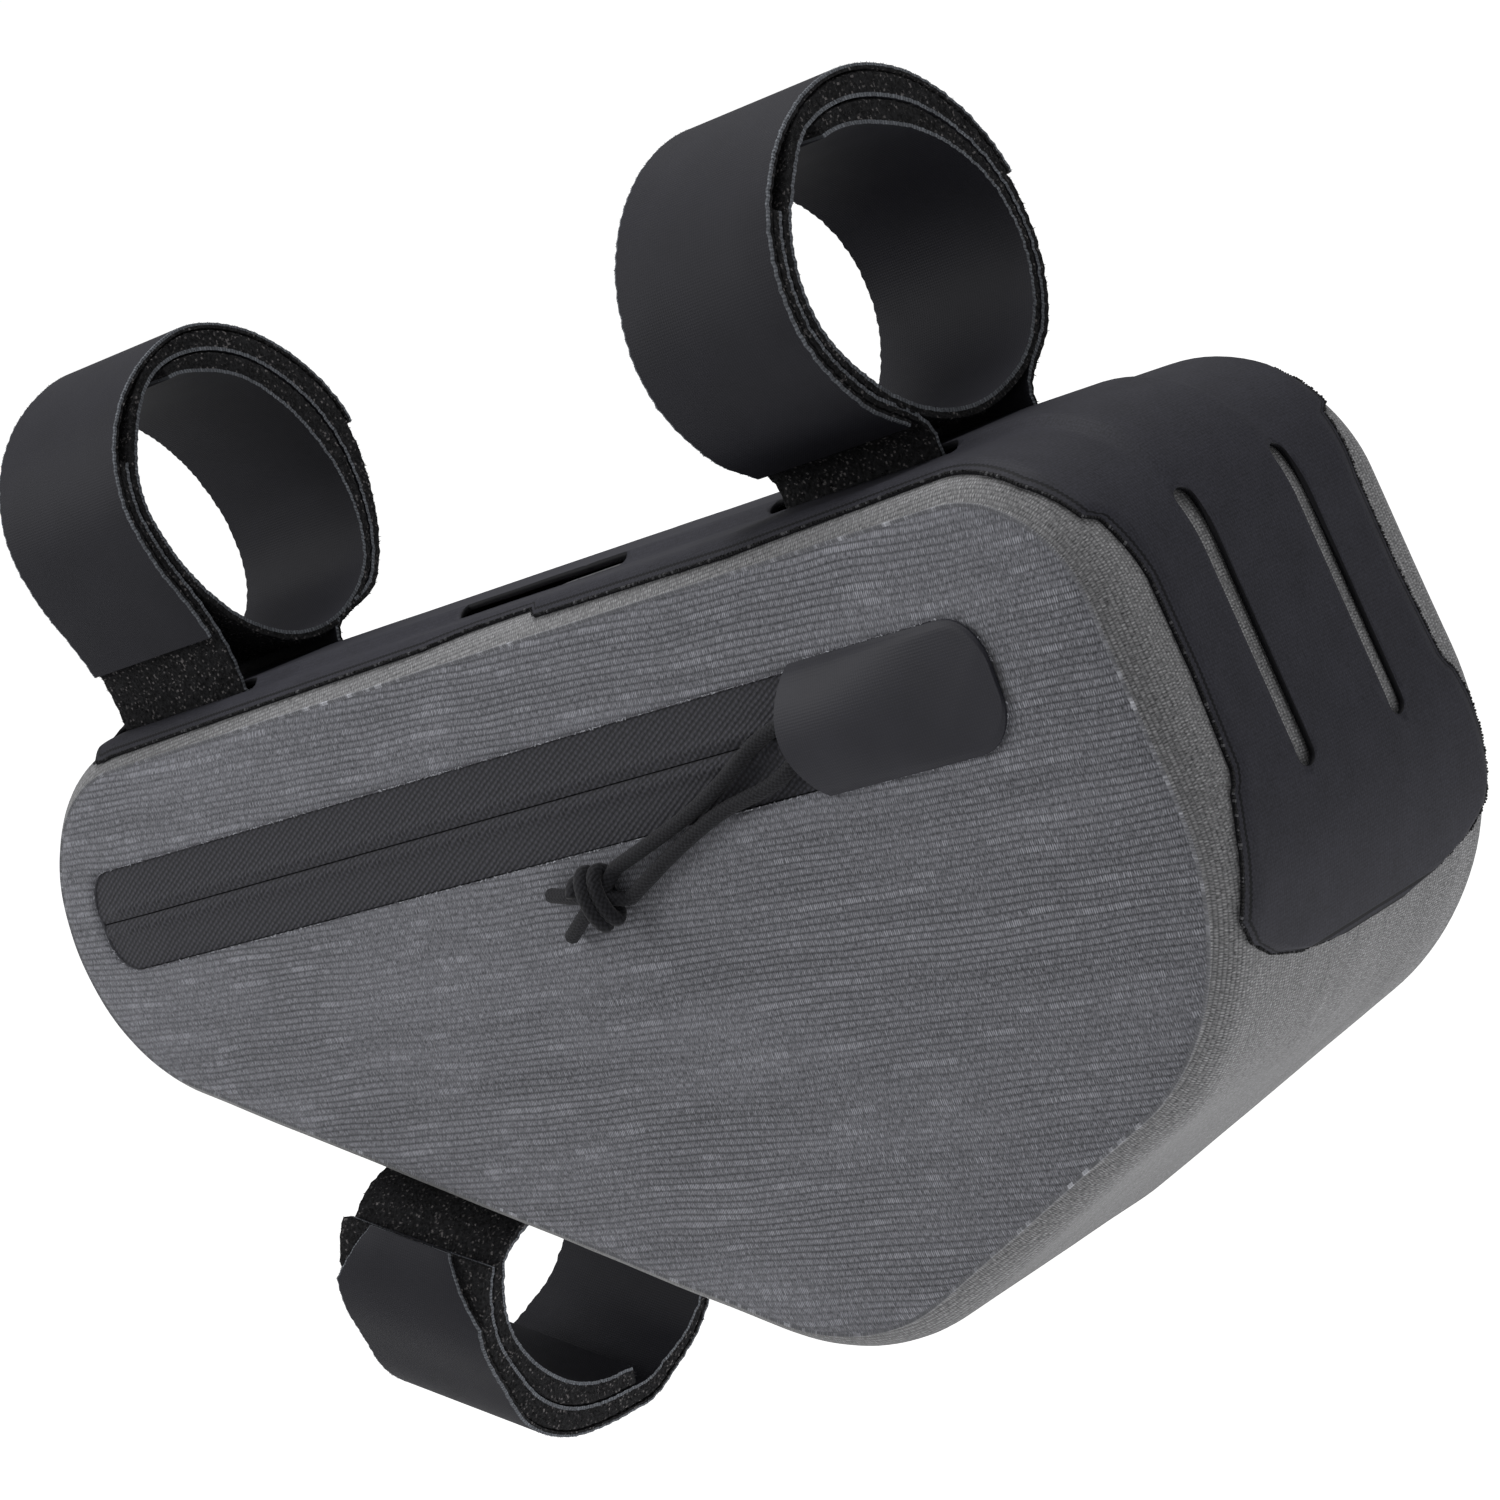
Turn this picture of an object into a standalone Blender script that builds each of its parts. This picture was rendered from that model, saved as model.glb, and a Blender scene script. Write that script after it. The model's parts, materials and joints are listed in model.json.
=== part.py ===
"""A small wedge-shaped bicycle frame bag with its zip, cord pull and three hook-and-loop straps.

The frame is the bag's own: +X runs towards the wide rear end, -Y is the near side with the zip,
+Z is up, and the origin lies on the flat middle of the black top panel, midway between the two
top straps, where the bag hangs from the top tube. Every length is in metres.
"""

import math
from collections import namedtuple

import bmesh
import bpy
from mathutils import Vector

MM = 0.001

# The bag
BAG_LENGTH = 324.7 * MM
BAG_HEIGHT = 157.4 * MM
NARROW_WIDTH = 46.5 * MM
WIDE_WIDTH = 92.4 * MM
BOLSTER_RADIUS = 8.7 * MM
CROWN_HEIGHT = 3.0 * MM
CROWN_REACH = 58.0 * MM
CLOTH_WALL = 1.6 * MM

# The straps, and the sleeve of the black panel that they pass under
STRAP_WIDTH = 38.0 * MM
STRAP_THICKNESS = 2.1 * MM
STRAP_FLAT = 1.4 * MM
TAB_THICKNESS = 1.2 * MM
RING_RADIUS = 31.0 * MM
SLEEVE_ROOM = 0.6 * MM
SLEEVE_HALF_WIDTH = 13.4 * MM
PANEL_THICKNESS = 1.2 * MM
SLOT_SPREAD = 15.0 * MM
SLOT_WIDTH = 2.4 * MM
SLOT_MARGIN = 4.0 * MM
REAR_SLOT_LENGTH = 52.4 * MM
STRAP_BEND_RADIUS = 1.1 * MM
SLEEVE_SHARE = 0.6
FOOT_SHARE = 0.75
TOP_PULL = 0.35
BOTTOM_PULL = 0.33

# The zip
ZIP_LENGTH = 266.0 * MM
ZIP_HEIGHT = 22.0 * MM
ZIP_DEPTH = 24.0 * MM
ZIP_CORNER = 8.0 * MM
ZIP_SPLIT = 0.4 * MM
TAPE_THICKNESS = 1.2 * MM
TAPE_RECESS = 0.4 * MM
GARAGE_LENGTH = 54.0 * MM
GARAGE_LAP = 1.5 * MM
GARAGE_BOW = 4.0 * MM
GARAGE_THICKNESS = 0.9 * MM
SLIDER_LENGTH = 12.0 * MM
SLIDER_WIDTH = 9.0 * MM
SLIDER_THICKNESS = 2.4 * MM
SLIDER_SETBACK = 7.3 * MM

# The cord pull
CORD_DIAMETER = 3.0 * MM
KNOT_LENGTH = 12.0 * MM
KNOT_WIDTH = 13.0 * MM
KNOT_HEIGHT = 8.4 * MM
TAIL_LENGTH = 5.5 * MM

CLEARANCE = 0.3 * MM
PANEL_SEAT = 0.42 * MM
GARAGE_LIFT = CORD_DIAMETER + 3.0 * CLEARANCE

TOP_Z = -(PANEL_SEAT + STRAP_FLAT + SLEEVE_ROOM + PANEL_THICKNESS)
STRAP_STATION = 0.2957 * BAG_LENGTH
SPARE_SLOT_STATION = 0.0370 * BAG_LENGTH
REAR_SLOT_SHARE = 0.42
BOTTOM_STRAP_SHARE = 0.459

# Outline of the gusset, clockwise as seen from the near side. Along is a share of the bag's
# length from the origin, down is a share of its height below the top, radius is a share of
# its height.
Corner = namedtuple("Corner", "along down radius")
CORNERS = (
    Corner(-0.4484, 0.0, 0.2414),
    Corner(0.4915, 0.0, 0.1906),
    Corner(0.5186, 0.6645, 0.3685),
    Corner(0.1263, 1.0, 0.3748),
    Corner(-0.4786, 0.4047, 0.2580),
)
ARC_STEPS = 8
STRAIGHT_STEP = 42.0 * MM

# Edge of the black panel. Inset is measured inwards from the bag's half-width, in bolster
# radii; raise is how much of the sleeve's height the middle keeps.
PanelRow = namedtuple("PanelRow", "stretch share inset raise_share")
PANEL_ROWS = (
    PanelRow("narrow corner", 0.50, 0.30, 0.0),
    PanelRow("narrow corner", 0.94, 0.25, 1.0),
    PanelRow("narrow corner", 1.00, 0.28, 1.0),
    PanelRow("top", 0.42, 0.42, 1.0),
    PanelRow("top", 0.48, 0.58, 1.0),
    PanelRow("top", 0.55, 0.62, 1.0),
    PanelRow("top", 0.56, 0.36, 1.0),
    PanelRow("top", 0.78, 0.31, 1.0),
    PanelRow("top", 0.92, 0.45, 1.0),
    PanelRow("wide corner", 0.00, 0.60, 1.0),
    PanelRow("wide corner", 0.40, 0.50, 0.8),
    PanelRow("wide corner", 0.68, 0.72, 0.5),
    PanelRow("wide corner", 0.72, 1.05, 0.45),
    PanelRow("wide corner", 1.00, 1.37, 0.35),
    PanelRow("rear", 0.50, 1.40, 0.35),
    PanelRow("lower corner", 0.00, 1.28, 0.35),
    PanelRow("lower corner", 0.03, 1.16, 0.30),
    PanelRow("lower corner", 0.05, 1.00, 0.25),
    PanelRow("lower corner", 0.13, 0.80, 0.10),
    PanelRow("lower corner", 0.34, 0.50, 0.0),
    PanelRow("lower corner", 0.40, 0.70, 0.0),
    PanelRow("lower corner", 0.45, 1.30, 0.0),
    PanelRow("lower corner", 0.49, 2.40, 0.0),
    PanelRow("lower corner", 0.51, 3.60, 0.0),
)
STRETCHES = ("narrow corner", "top", "wide corner", "rear", "lower corner", "underside",
             "bottom corner", "slope", "nose corner", "nose")

# Shape of a strap's ring: radius of its innermost face in ring radii, and how thick the pile
# is in strap thicknesses, by the angle clockwise from the top as seen from the wide end.
RingRow = namedtuple("RingRow", "angle radius pile")
REAR_ROWS = (
    RingRow(0, 0.74, 2.2), RingRow(20, 0.72, 2.3), RingRow(50, 0.785, 1.9), RingRow(85, 0.945, 1.15),
    RingRow(110, 1.025, 1.0), RingRow(135, 1.04, 1.0), RingRow(162, 0.985, 1.0),
    RingRow(199, 0.955, 1.0), RingRow(231, 0.975, 1.0), RingRow(259, 1.035, 1.0),
    RingRow(287, 1.005, 1.0), RingRow(308, 0.94, 1.15), RingRow(332, 0.84, 1.6),
)
FRONT_ROWS = (
    RingRow(0, 0.84, 2.0), RingRow(20, 0.787, 2.2), RingRow(48, 0.735, 2.4), RingRow(78, 0.76, 2.4),
    RingRow(103, 0.861, 1.7), RingRow(122, 0.97, 1.2), RingRow(135, 1.03, 1.0),
    RingRow(150, 1.035, 1.0), RingRow(165, 1.02, 1.0), RingRow(184, 0.971, 1.0),
    RingRow(206, 0.894, 1.0), RingRow(234, 0.832, 1.0), RingRow(261, 0.848, 1.0),
    RingRow(282, 0.91, 1.0), RingRow(305, 0.94, 1.05), RingRow(341, 0.92, 1.3),
)
BOTTOM_ROWS = (
    RingRow(30, 0.90, 1.0), RingRow(60, 0.94, 1.0), RingRow(90, 1.10, 1.0), RingRow(115, 1.19, 1.1),
    RingRow(140, 1.24, 1.5), RingRow(155, 1.12, 2.0), RingRow(168, 0.98, 2.2),
    RingRow(182, 0.93, 2.2), RingRow(199, 0.89, 2.4), RingRow(222, 0.87, 2.4),
    RingRow(243, 0.91, 1.8), RingRow(265, 1.0, 1.7), RingRow(284, 1.06, 1.6),
    RingRow(300, 1.06, 1.2), RingRow(330, 0.95, 1.0),
)
# Centre of each ring in ring radii, to the far side and away from the bag's face. The strap goes
# from start to leave and from join to tail_end, and climbs onto its first turn from climb to climbed.
Ring = namedtuple("Ring", "name far out rows start climb climbed leave join tail_end tab tab_end")
FRONT_RING = Ring(
    name="front_top", far=0.194, out=1.145, rows=FRONT_ROWS, start=-19, climb=300, climbed=340,
    leave=497, join=248, tail_end=296, tab=254, tab_end=440,
)
REAR_RING = Ring(
    name="rear_top", far=-0.081, out=1.113, rows=REAR_ROWS, start=-28, climb=298, climbed=330,
    leave=486, join=231, tail_end=294, tab=236, tab_end=440,
)
BOTTOM_RING = Ring(
    name="bottom", far=0.097, out=0.613, rows=BOTTOM_ROWS, start=166, climb=502, climbed=526,
    leave=648, join=62, tail_end=286, tab=127, tab_end=289,
)
ANGLE_STEP = 8.0

# The two strands of the cord and the knot, as distances from the origin along the bag and down
# the near side. The strands lie on the cloth.
CordPoint = namedtuple("CordPoint", "x z")
UPPER_STRAND = (
    CordPoint(87.2 * MM, -37.0 * MM), CordPoint(84.0 * MM, -36.6 * MM),
    CordPoint(80.0 * MM, -36.7 * MM), CordPoint(74.0 * MM, -38.4 * MM),
    CordPoint(67.0 * MM, -41.6 * MM), CordPoint(60.0 * MM, -44.6 * MM),
    CordPoint(52.0 * MM, -47.4 * MM), CordPoint(44.0 * MM, -49.6 * MM),
    CordPoint(36.0 * MM, -51.6 * MM), CordPoint(28.6 * MM, -53.4 * MM),
)
LOWER_STRAND = (
    CordPoint(87.2 * MM, -41.4 * MM), CordPoint(84.4 * MM, -42.2 * MM),
    CordPoint(80.0 * MM, -44.6 * MM), CordPoint(74.0 * MM, -46.4 * MM),
    CordPoint(67.0 * MM, -47.4 * MM), CordPoint(60.0 * MM, -48.6 * MM),
    CordPoint(52.0 * MM, -51.0 * MM), CordPoint(44.0 * MM, -53.8 * MM),
    CordPoint(36.0 * MM, -57.0 * MM), CordPoint(29.6 * MM, -59.6 * MM),
)
KNOT_PLACE = CordPoint(21.0 * MM, -57.6 * MM)
TAIL_ENDS = (CordPoint(9.0 * MM, -55.4 * MM), CordPoint(10.4 * MM, -64.0 * MM))


def make_material(name, colour, roughness, metallic=0.0):
    """One Principled BSDF finish."""
    material = bpy.data.materials.new(name)
    material.use_nodes = True
    shader = material.node_tree.nodes["Principled BSDF"]
    shader.inputs["Base Color"].default_value = (*colour, 1.0)
    shader.inputs["Roughness"].default_value = roughness
    shader.inputs["Metallic"].default_value = metallic
    return material


def add_object(name, mesh, material):
    """Put a mesh into the scene under its node's name."""
    item = bpy.data.objects.new(name, mesh)
    bpy.context.scene.collection.objects.link(item)
    if material is not None:
        mesh.materials.append(material)
    return item


def add_cutter(name, mesh):
    """A shape that only cuts others."""
    item = add_object(name, mesh, None)
    item.hide_render = True
    item.display_type = "WIRE"
    return item


def boolean(target, other, operation="DIFFERENCE"):
    """Cut one object with another, or join it to the other."""
    step = target.modifiers.new(other.name, "BOOLEAN")
    step.operation = operation
    step.solver = "EXACT"
    step.object = other


def loft(name, rings, smooth_angle=35.0):
    """A closed solid over rings of equal count, capped at both ends."""
    shape = bmesh.new()
    loops = [[shape.verts.new(point) for point in ring] for ring in rings]
    count = len(rings[0])
    for lower, upper in zip(loops, loops[1:]):
        for k in range(count):
            n = (k + 1) % count
            shape.faces.new((lower[k], lower[n], upper[n], upper[k]))
    for loop in (loops[0], loops[-1]):
        middle = shape.verts.new(sum((v.co for v in loop), Vector()) / count)
        for k in range(count):
            shape.faces.new((loop[k], loop[(k + 1) % count], middle))
    return finish_mesh(name, shape, smooth_angle)


def finish_mesh(name, shape, smooth_angle=35.0):
    """Turn the faces outwards and shade the round parts smooth."""
    bmesh.ops.triangulate(shape, faces=shape.faces[:])
    bmesh.ops.recalc_face_normals(shape, faces=shape.faces[:])
    mesh = bpy.data.meshes.new(name)
    shape.to_mesh(mesh)
    shape.free()
    mesh.shade_smooth()
    mesh.set_sharp_from_angle(angle=math.radians(smooth_angle))
    return mesh


def smooth_step(value):
    """Zero below 0, one above 1, and an even ramp between."""
    value = min(max(value, 0.0), 1.0)
    return value * value * (3.0 - 2.0 * value)


def corner_point(index):
    """Sharp corner of the gusset's outline in the XZ plane."""
    corner = CORNERS[index % len(CORNERS)]
    return Vector((corner.along * BAG_LENGTH, TOP_Z - corner.down * BAG_HEIGHT))


def edge_direction(index):
    """Direction of the outline's edge from one corner to the next."""
    return (corner_point(index + 1) - corner_point(index)).normalized()


def outward(direction):
    """Outward normal of an edge that runs clockwise."""
    return Vector((-direction.y, direction.x))


class OutlineCorner:
    """One rounded corner: its arc's centre, radius and the angles of its ends."""

    def __init__(self, index):
        normal_in = outward(edge_direction(index - 1))
        normal_out = outward(edge_direction(index))
        self.radius = CORNERS[index % len(CORNERS)].radius * BAG_HEIGHT
        reach = self.radius / (1.0 + normal_in.dot(normal_out))
        self.centre = corner_point(index) - (normal_in + normal_out) * reach
        self.start = math.atan2(normal_in.y, normal_in.x)
        self.turn = normal_in.angle(normal_out)
        self.length = self.radius * self.turn

    def at(self, share):
        """Point and normal at a share of the arc."""
        angle = self.start - share * self.turn
        normal = Vector((math.cos(angle), math.sin(angle)))
        return self.centre + normal * self.radius, normal

    def holds(self, point):
        """Whether the nearest stretch of the outline to a point is this arc."""
        arm = point - self.centre
        if arm.length < 1e-9:
            return False
        behind = (self.start - math.atan2(arm.y, arm.x)) % (2.0 * math.pi)
        return behind <= self.turn


OUTLINE = [OutlineCorner(index) for index in range(len(CORNERS))]


def stretch_at(stretch, share):
    """Point and outward normal on a named stretch of the outline."""
    index, straight = divmod(STRETCHES.index(stretch), 2)
    if not straight:
        return OUTLINE[index].at(share)
    start, normal = OUTLINE[index].at(1.0)
    end, _ = OUTLINE[(index + 1) % len(OUTLINE)].at(0.0)
    return start.lerp(end, share), normal


def stretch_length(stretch):
    """Length of a named stretch of the outline."""
    index, straight = divmod(STRETCHES.index(stretch), 2)
    if not straight:
        return OUTLINE[index].length
    return (stretch_at(stretch, 1.0)[0] - stretch_at(stretch, 0.0)[0]).length


def outline_stations():
    """Points and normals all round the gusset's outline."""
    stations = []
    for place, stretch in enumerate(STRETCHES):
        if place % 2 == 0:
            stations += [stretch_at(stretch, k / ARC_STEPS) for k in range(ARC_STEPS + 1)]
        else:
            steps = max(1, round(stretch_length(stretch) / STRAIGHT_STEP))
            stations += [stretch_at(stretch, k / steps) for k in range(1, steps)]
    return stations


def half_width(x):
    """Half of the bag's width between its side panels, before their crown."""
    front = min(corner.along for corner in CORNERS) * BAG_LENGTH
    rear = max(corner.along for corner in CORNERS) * BAG_LENGTH
    share = (x - front) / (rear - front)
    return 0.5 * (NARROW_WIDTH + (WIDE_WIDTH - NARROW_WIDTH) * share)


def inset_at(x, z):
    """Distance from a point to the gusset's rounded outline."""
    point = Vector((x, z))
    for corner in OUTLINE:
        if corner.holds(point):
            return corner.radius - (point - corner.centre).length
    return min(
        outward(edge_direction(k)).dot(corner_point(k) - point) for k in range(len(CORNERS))
    )


def side_y(x, z, height=0.0):
    """Y of the near side panel's face, raised outwards by a height."""
    reach = min(max((inset_at(x, z) - BOLSTER_RADIUS) / CROWN_REACH, 0.0), 1.0)
    crown = CROWN_HEIGHT * (1.0 - (1.0 - reach) ** 2)
    return -(half_width(x) + crown + height)


def bag_form(name, wall):
    """The bag's closed form, drawn in by a wall: bolsters, gusset and crowned side panels."""
    stations = outline_stations()
    radius = BOLSTER_RADIUS - wall
    middle = sum((point for point, _ in stations), Vector((0.0, 0.0))) / len(stations)
    base = [point - normal * BOLSTER_RADIUS for point, normal in stations]
    half = []
    for share in (0.25, 0.5, 0.75, 0.92):
        ring = [middle.lerp(point, share) for point in base]
        half.append([(p.x, side_y(p.x, p.y, -wall), p.y) for p in ring])
    half.append([(p.x, side_y(p.x, p.y, -wall), p.y) for p in base])
    for angle in (66.0, 48.0, 30.0, 15.0, 0.0):
        turn = math.radians(angle)
        inset = wall + radius * (1.0 - math.cos(turn))
        ring = []
        for point, normal in stations:
            place = point - normal * inset
            y = half_width(place.x) - BOLSTER_RADIUS + radius * math.sin(turn)
            ring.append((place.x, -y, place.y))
        half.append(ring)
    far = [[(x, -y, z) for x, y, z in ring] for ring in reversed(half)]
    return loft(name, half + far, 50.0)


def rounded_window(length, height, corner, steps=4):
    """Corner-rounded rectangle about its centre, in the XZ plane."""
    points = []
    for quarter in range(4):
        across = 1 if quarter in (0, 3) else -1
        up = 1 if quarter < 2 else -1
        centre = (across * (length / 2 - corner), up * (height / 2 - corner))
        for k in range(steps + 1):
            angle = math.radians(90.0 * (quarter + k / steps))
            points.append((centre[0] + corner * math.cos(angle), centre[1] + corner * math.sin(angle)))
    return points


def zip_middle_z():
    """Height of the zip's centre line."""
    return TOP_Z - ZIP_DEPTH - ZIP_HEIGHT / 2


def make_shell(material):
    """The cloth of the bag: hollow, with the zip's window through the near side panel."""
    shell = add_object("bag_shell", bag_form("bag_shell", 0.0), material)
    boolean(shell, add_cutter("bag_inside", bag_form("bag_inside", CLOTH_WALL)))
    outline = rounded_window(ZIP_LENGTH, ZIP_HEIGHT, ZIP_CORNER)
    outer = side_y(ZIP_LENGTH / 2, zip_middle_z(), ZIP_HEIGHT)
    inner = side_y(-ZIP_LENGTH / 2, zip_middle_z(), -ZIP_HEIGHT / 2)
    rings = [[(x, y, zip_middle_z() + z) for x, z in outline] for y in (outer, inner)]
    boolean(shell, add_cutter("zip_window", loft("zip_window", rings)))
    return shell


def skin_point(point, normal, across, height):
    """Point over the gusset: across is measured along the cloth from the middle line."""
    width = half_width(point.x) - BOLSTER_RADIUS
    side = math.copysign(1.0, across)
    tilt = max(abs(across) - width, 0.0) / BOLSTER_RADIUS
    lever = BOLSTER_RADIUS + height
    rise = lever * math.cos(tilt) - BOLSTER_RADIUS
    y = min(abs(across), width) + lever * math.sin(tilt)
    place = point + normal * rise
    return Vector((place.x, side * y, place.y))


def panel_reach(point, inset):
    """Distance along the cloth from the middle line to the panel's edge."""
    width = half_width(point.x) - BOLSTER_RADIUS
    if inset >= 1.0:
        return width - (inset - 1.0) * BOLSTER_RADIUS
    return width + BOLSTER_RADIUS * math.asin(1.0 - inset)


def panel_sections():
    """Rows of the table with steps added where the outline turns."""
    rows = []
    for row, after in zip(PANEL_ROWS, PANEL_ROWS[1:]):
        steps = 1
        if row.stretch == after.stretch and row.stretch.endswith("corner"):
            steps = max(1, math.ceil(ARC_STEPS * (after.share - row.share)))
        for k in range(steps):
            part = k / steps
            rows.append(PanelRow(
                row.stretch,
                row.share + (after.share - row.share) * part,
                row.inset + (after.inset - row.inset) * part,
                row.raise_share + (after.raise_share - row.raise_share) * part,
            ))
    rows.append(PANEL_ROWS[-1])
    return rows


def panel_ring(row):
    """Closed section of the black panel at one row: outer face, then inner face back."""
    point, normal = stretch_at(row.stretch, row.share)
    reach = panel_reach(point, row.inset)
    width = half_width(point.x) - BOLSTER_RADIUS
    sleeve = (STRAP_FLAT + SLEEVE_ROOM) * row.raise_share
    foot = min(2.0 * SLOT_SPREAD - SLEEVE_HALF_WIDTH, FOOT_SHARE * reach)
    turn = width if reach > width else 0.5 * (foot + reach)
    stops = [(min(SLEEVE_HALF_WIDTH, SLEEVE_SHARE * reach), sleeve), (foot, 0.0)]
    stops += [(turn + (reach - turn) * part / 3, 0.0) for part in range(4)]
    stops = [(-across, lift) for across, lift in reversed(stops)] + stops
    outer = [skin_point(point, normal, a, PANEL_SEAT + PANEL_THICKNESS + lift) for a, lift in stops]
    inner = [skin_point(point, normal, a, PANEL_SEAT + lift) for a, lift in stops]
    return outer + inner[::-1]


def slot_cutter(name, middle, along, normal, length, side):
    """A long narrow slot with round ends, through the black panel."""
    radius = SLOT_WIDTH / 2
    outline = []
    for end in (1, -1):
        for k in range(5):
            angle = math.radians(-90.0 + 45.0 * k)
            outline.append((
                end * (length / 2 - radius + radius * math.cos(angle)),
                end * radius * math.sin(angle),
            ))
    depth = BOLSTER_RADIUS
    rings = []
    for height in (-depth, depth):
        ring = []
        for run, across in outline:
            place = middle + along * run + normal * height
            ring.append((place.x, side * SLOT_SPREAD + across, place.y))
        rings.append(ring)
    return add_cutter(name, loft(name, rings))


def make_panel(material):
    """The black laminate over the top and the rear face, with four pairs of slots."""
    mesh = loft("reinforcement_panel", [panel_ring(row) for row in panel_sections()], 30.0)
    panel = add_object("reinforcement_panel", mesh, material)
    along, up = Vector((1.0, 0.0)), Vector((0.0, 1.0))
    length = STRAP_WIDTH + 2.0 * SLOT_MARGIN
    places = [
        ("front_slot", Vector((-STRAP_STATION, TOP_Z)), along, up, length),
        ("spare_slot", Vector((SPARE_SLOT_STATION, TOP_Z)), along, up, length),
        ("strap_slot", Vector((STRAP_STATION, TOP_Z)), along, up, length),
    ]
    rear_middle, rear_normal = stretch_at("rear", REAR_SLOT_SHARE)
    places.append(("rear_slot", rear_middle, edge_direction(1), rear_normal, REAR_SLOT_LENGTH))
    for name, middle, run, normal, size in places:
        for side, word in ((-1, "near"), (1, "far")):
            boolean(panel, slot_cutter(f"{name}_{word}", middle, run, normal, size, side))
    return panel


def zip_strip(name, columns, material):
    """A thin strip on the near side. A column is a list of (x, z, outer lift, inner lift)."""
    rings = []
    for column in columns:
        outer = [(x, side_y(x, z, top), z) for x, z, top, low in column]
        inner = [(x, side_y(x, z, low), z) for x, z, top, low in reversed(column)]
        rings.append(outer + inner)
    return add_object(name, loft(name, rings, 30.0), material)


def end_rounding(run, corner):
    """How far a rounded corner has pulled an edge in, at a distance from the strip's end."""
    short = max(corner - run, 0.0)
    return corner - math.sqrt(max(corner * corner - short * short, 0.0))


def strip_stations(length, corner, middle_steps):
    """Distances from one end of a strip with two rounded ends."""
    ends = [corner * share for share in (0.0, 0.15, 0.5, 1.0)]
    middle = length - 2.0 * corner
    inside = [corner + middle * k / middle_steps for k in range(1, middle_steps)]
    return ends + inside + [length - run for run in reversed(ends)]


def make_tapes(material):
    """The upper and lower halves of the zip, side by side in the window."""
    length = ZIP_LENGTH - 2.0 * CLEARANCE
    corner = ZIP_CORNER - CLEARANCE
    height = ZIP_HEIGHT / 2 - CLEARANCE
    for name, way in (("zip_tape_upper", 1), ("zip_tape_lower", -1)):
        columns = []
        for run in strip_stations(length, corner, 8):
            x = run - length / 2
            edge = height - end_rounding(min(run, length - run), corner)
            column = []
            for z in (ZIP_SPLIT / 2, 0.5 * (edge + ZIP_SPLIT / 2), edge):
                column.append((x, zip_middle_z() + way * z, -TAPE_RECESS, -TAPE_RECESS - TAPE_THICKNESS))
            columns.append(column)
        zip_strip(name, columns, material)


def garage_front():
    """X of the open edge of the flap over the zip's closed end."""
    return ZIP_LENGTH / 2 + GARAGE_LAP - GARAGE_LENGTH


def make_garage(material):
    """The smooth flap over the zip's closed end, domed over the slider and open at the front."""
    half = ZIP_HEIGHT / 2 + GARAGE_LAP
    corner = ZIP_CORNER + GARAGE_LAP
    columns = []
    runs = [GARAGE_LENGTH * k / 6 for k in range(6)]
    runs = [run for run in runs if run < GARAGE_LENGTH - corner]
    runs += [GARAGE_LENGTH - corner * share for share in (1.0, 0.5, 0.15, 0.0)]
    for run in runs:
        edge = half - end_rounding(GARAGE_LENGTH - run, corner)
        column = []
        for share in (-1.0, -0.82, -0.64, 0.0, 0.64, 0.82, 1.0):
            fade = 1.0 - smooth_step((run - SLIDER_SETBACK - SLIDER_LENGTH) / (0.4 * GARAGE_LENGTH))
            across = 1.0 - smooth_step((abs(share) - 0.6) / 0.4)
            low = CLEARANCE + (GARAGE_LIFT - CLEARANCE) * fade * across
            bow = GARAGE_BOW * share * share * max(1.0 - run / GARAGE_LENGTH, 0.0)
            column.append((garage_front() + run + bow, zip_middle_z() + share * edge,
                           low + GARAGE_THICKNESS, low))
        columns.append(column)
    zip_strip("zip_garage", columns, material)


def make_slider(material):
    """The slider under the flap, one plain piece on the zip's centre line."""
    low = CLEARANCE - TAPE_RECESS
    top = low + SLIDER_THICKNESS
    chamfer = 0.2 * SLIDER_WIDTH
    start = garage_front() + SLIDER_SETBACK
    columns = []
    for run, edge in ((0.0, SLIDER_WIDTH / 2 - chamfer), (chamfer, SLIDER_WIDTH / 2),
                      (SLIDER_LENGTH - chamfer, SLIDER_WIDTH / 2),
                      (SLIDER_LENGTH, SLIDER_WIDTH / 2 - chamfer)):
        columns.append([(start + run, zip_middle_z() + z, top, low) for z in (-edge, edge)])
    zip_strip("zip_slider", columns, material)


def catmull(points, steps):
    """Points of a smooth curve through a few chosen points."""
    ends = [points[0] * 2 - points[1]] + list(points) + [points[-1] * 2 - points[-2]]
    curve = []
    for a, b, c, d in zip(ends, ends[1:], ends[2:], ends[3:]):
        for k in range(steps):
            t = k / steps
            curve.append(0.5 * (2 * b + (c - a) * t + (2 * a - 5 * b + 4 * c - d) * t ** 2
                                + (3 * b - a - 3 * c + d) * t ** 3))
    curve.append(points[-1].copy())
    return curve


def cord_route(points):
    """A strand's centre line, lying on the side panel."""
    height = CORD_DIAMETER / 2 + CLEARANCE
    return catmull([Vector((p.x, side_y(p.x, p.z, height), p.z)) for p in points], 1)


def make_strand(name, points, material):
    """One strand of the cord as a round tube."""
    curve = bpy.data.curves.new(name, "CURVE")
    curve.dimensions = "3D"
    curve.bevel_depth = CORD_DIAMETER / 2
    curve.bevel_resolution = 2
    curve.use_fill_caps = True
    route = cord_route(points)
    spline = curve.splines.new("POLY")
    spline.points.add(len(route) - 1)
    for knot, place in zip(spline.points, route):
        knot.co = (*place, 1.0)
    add_object(name, curve, material)


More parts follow.
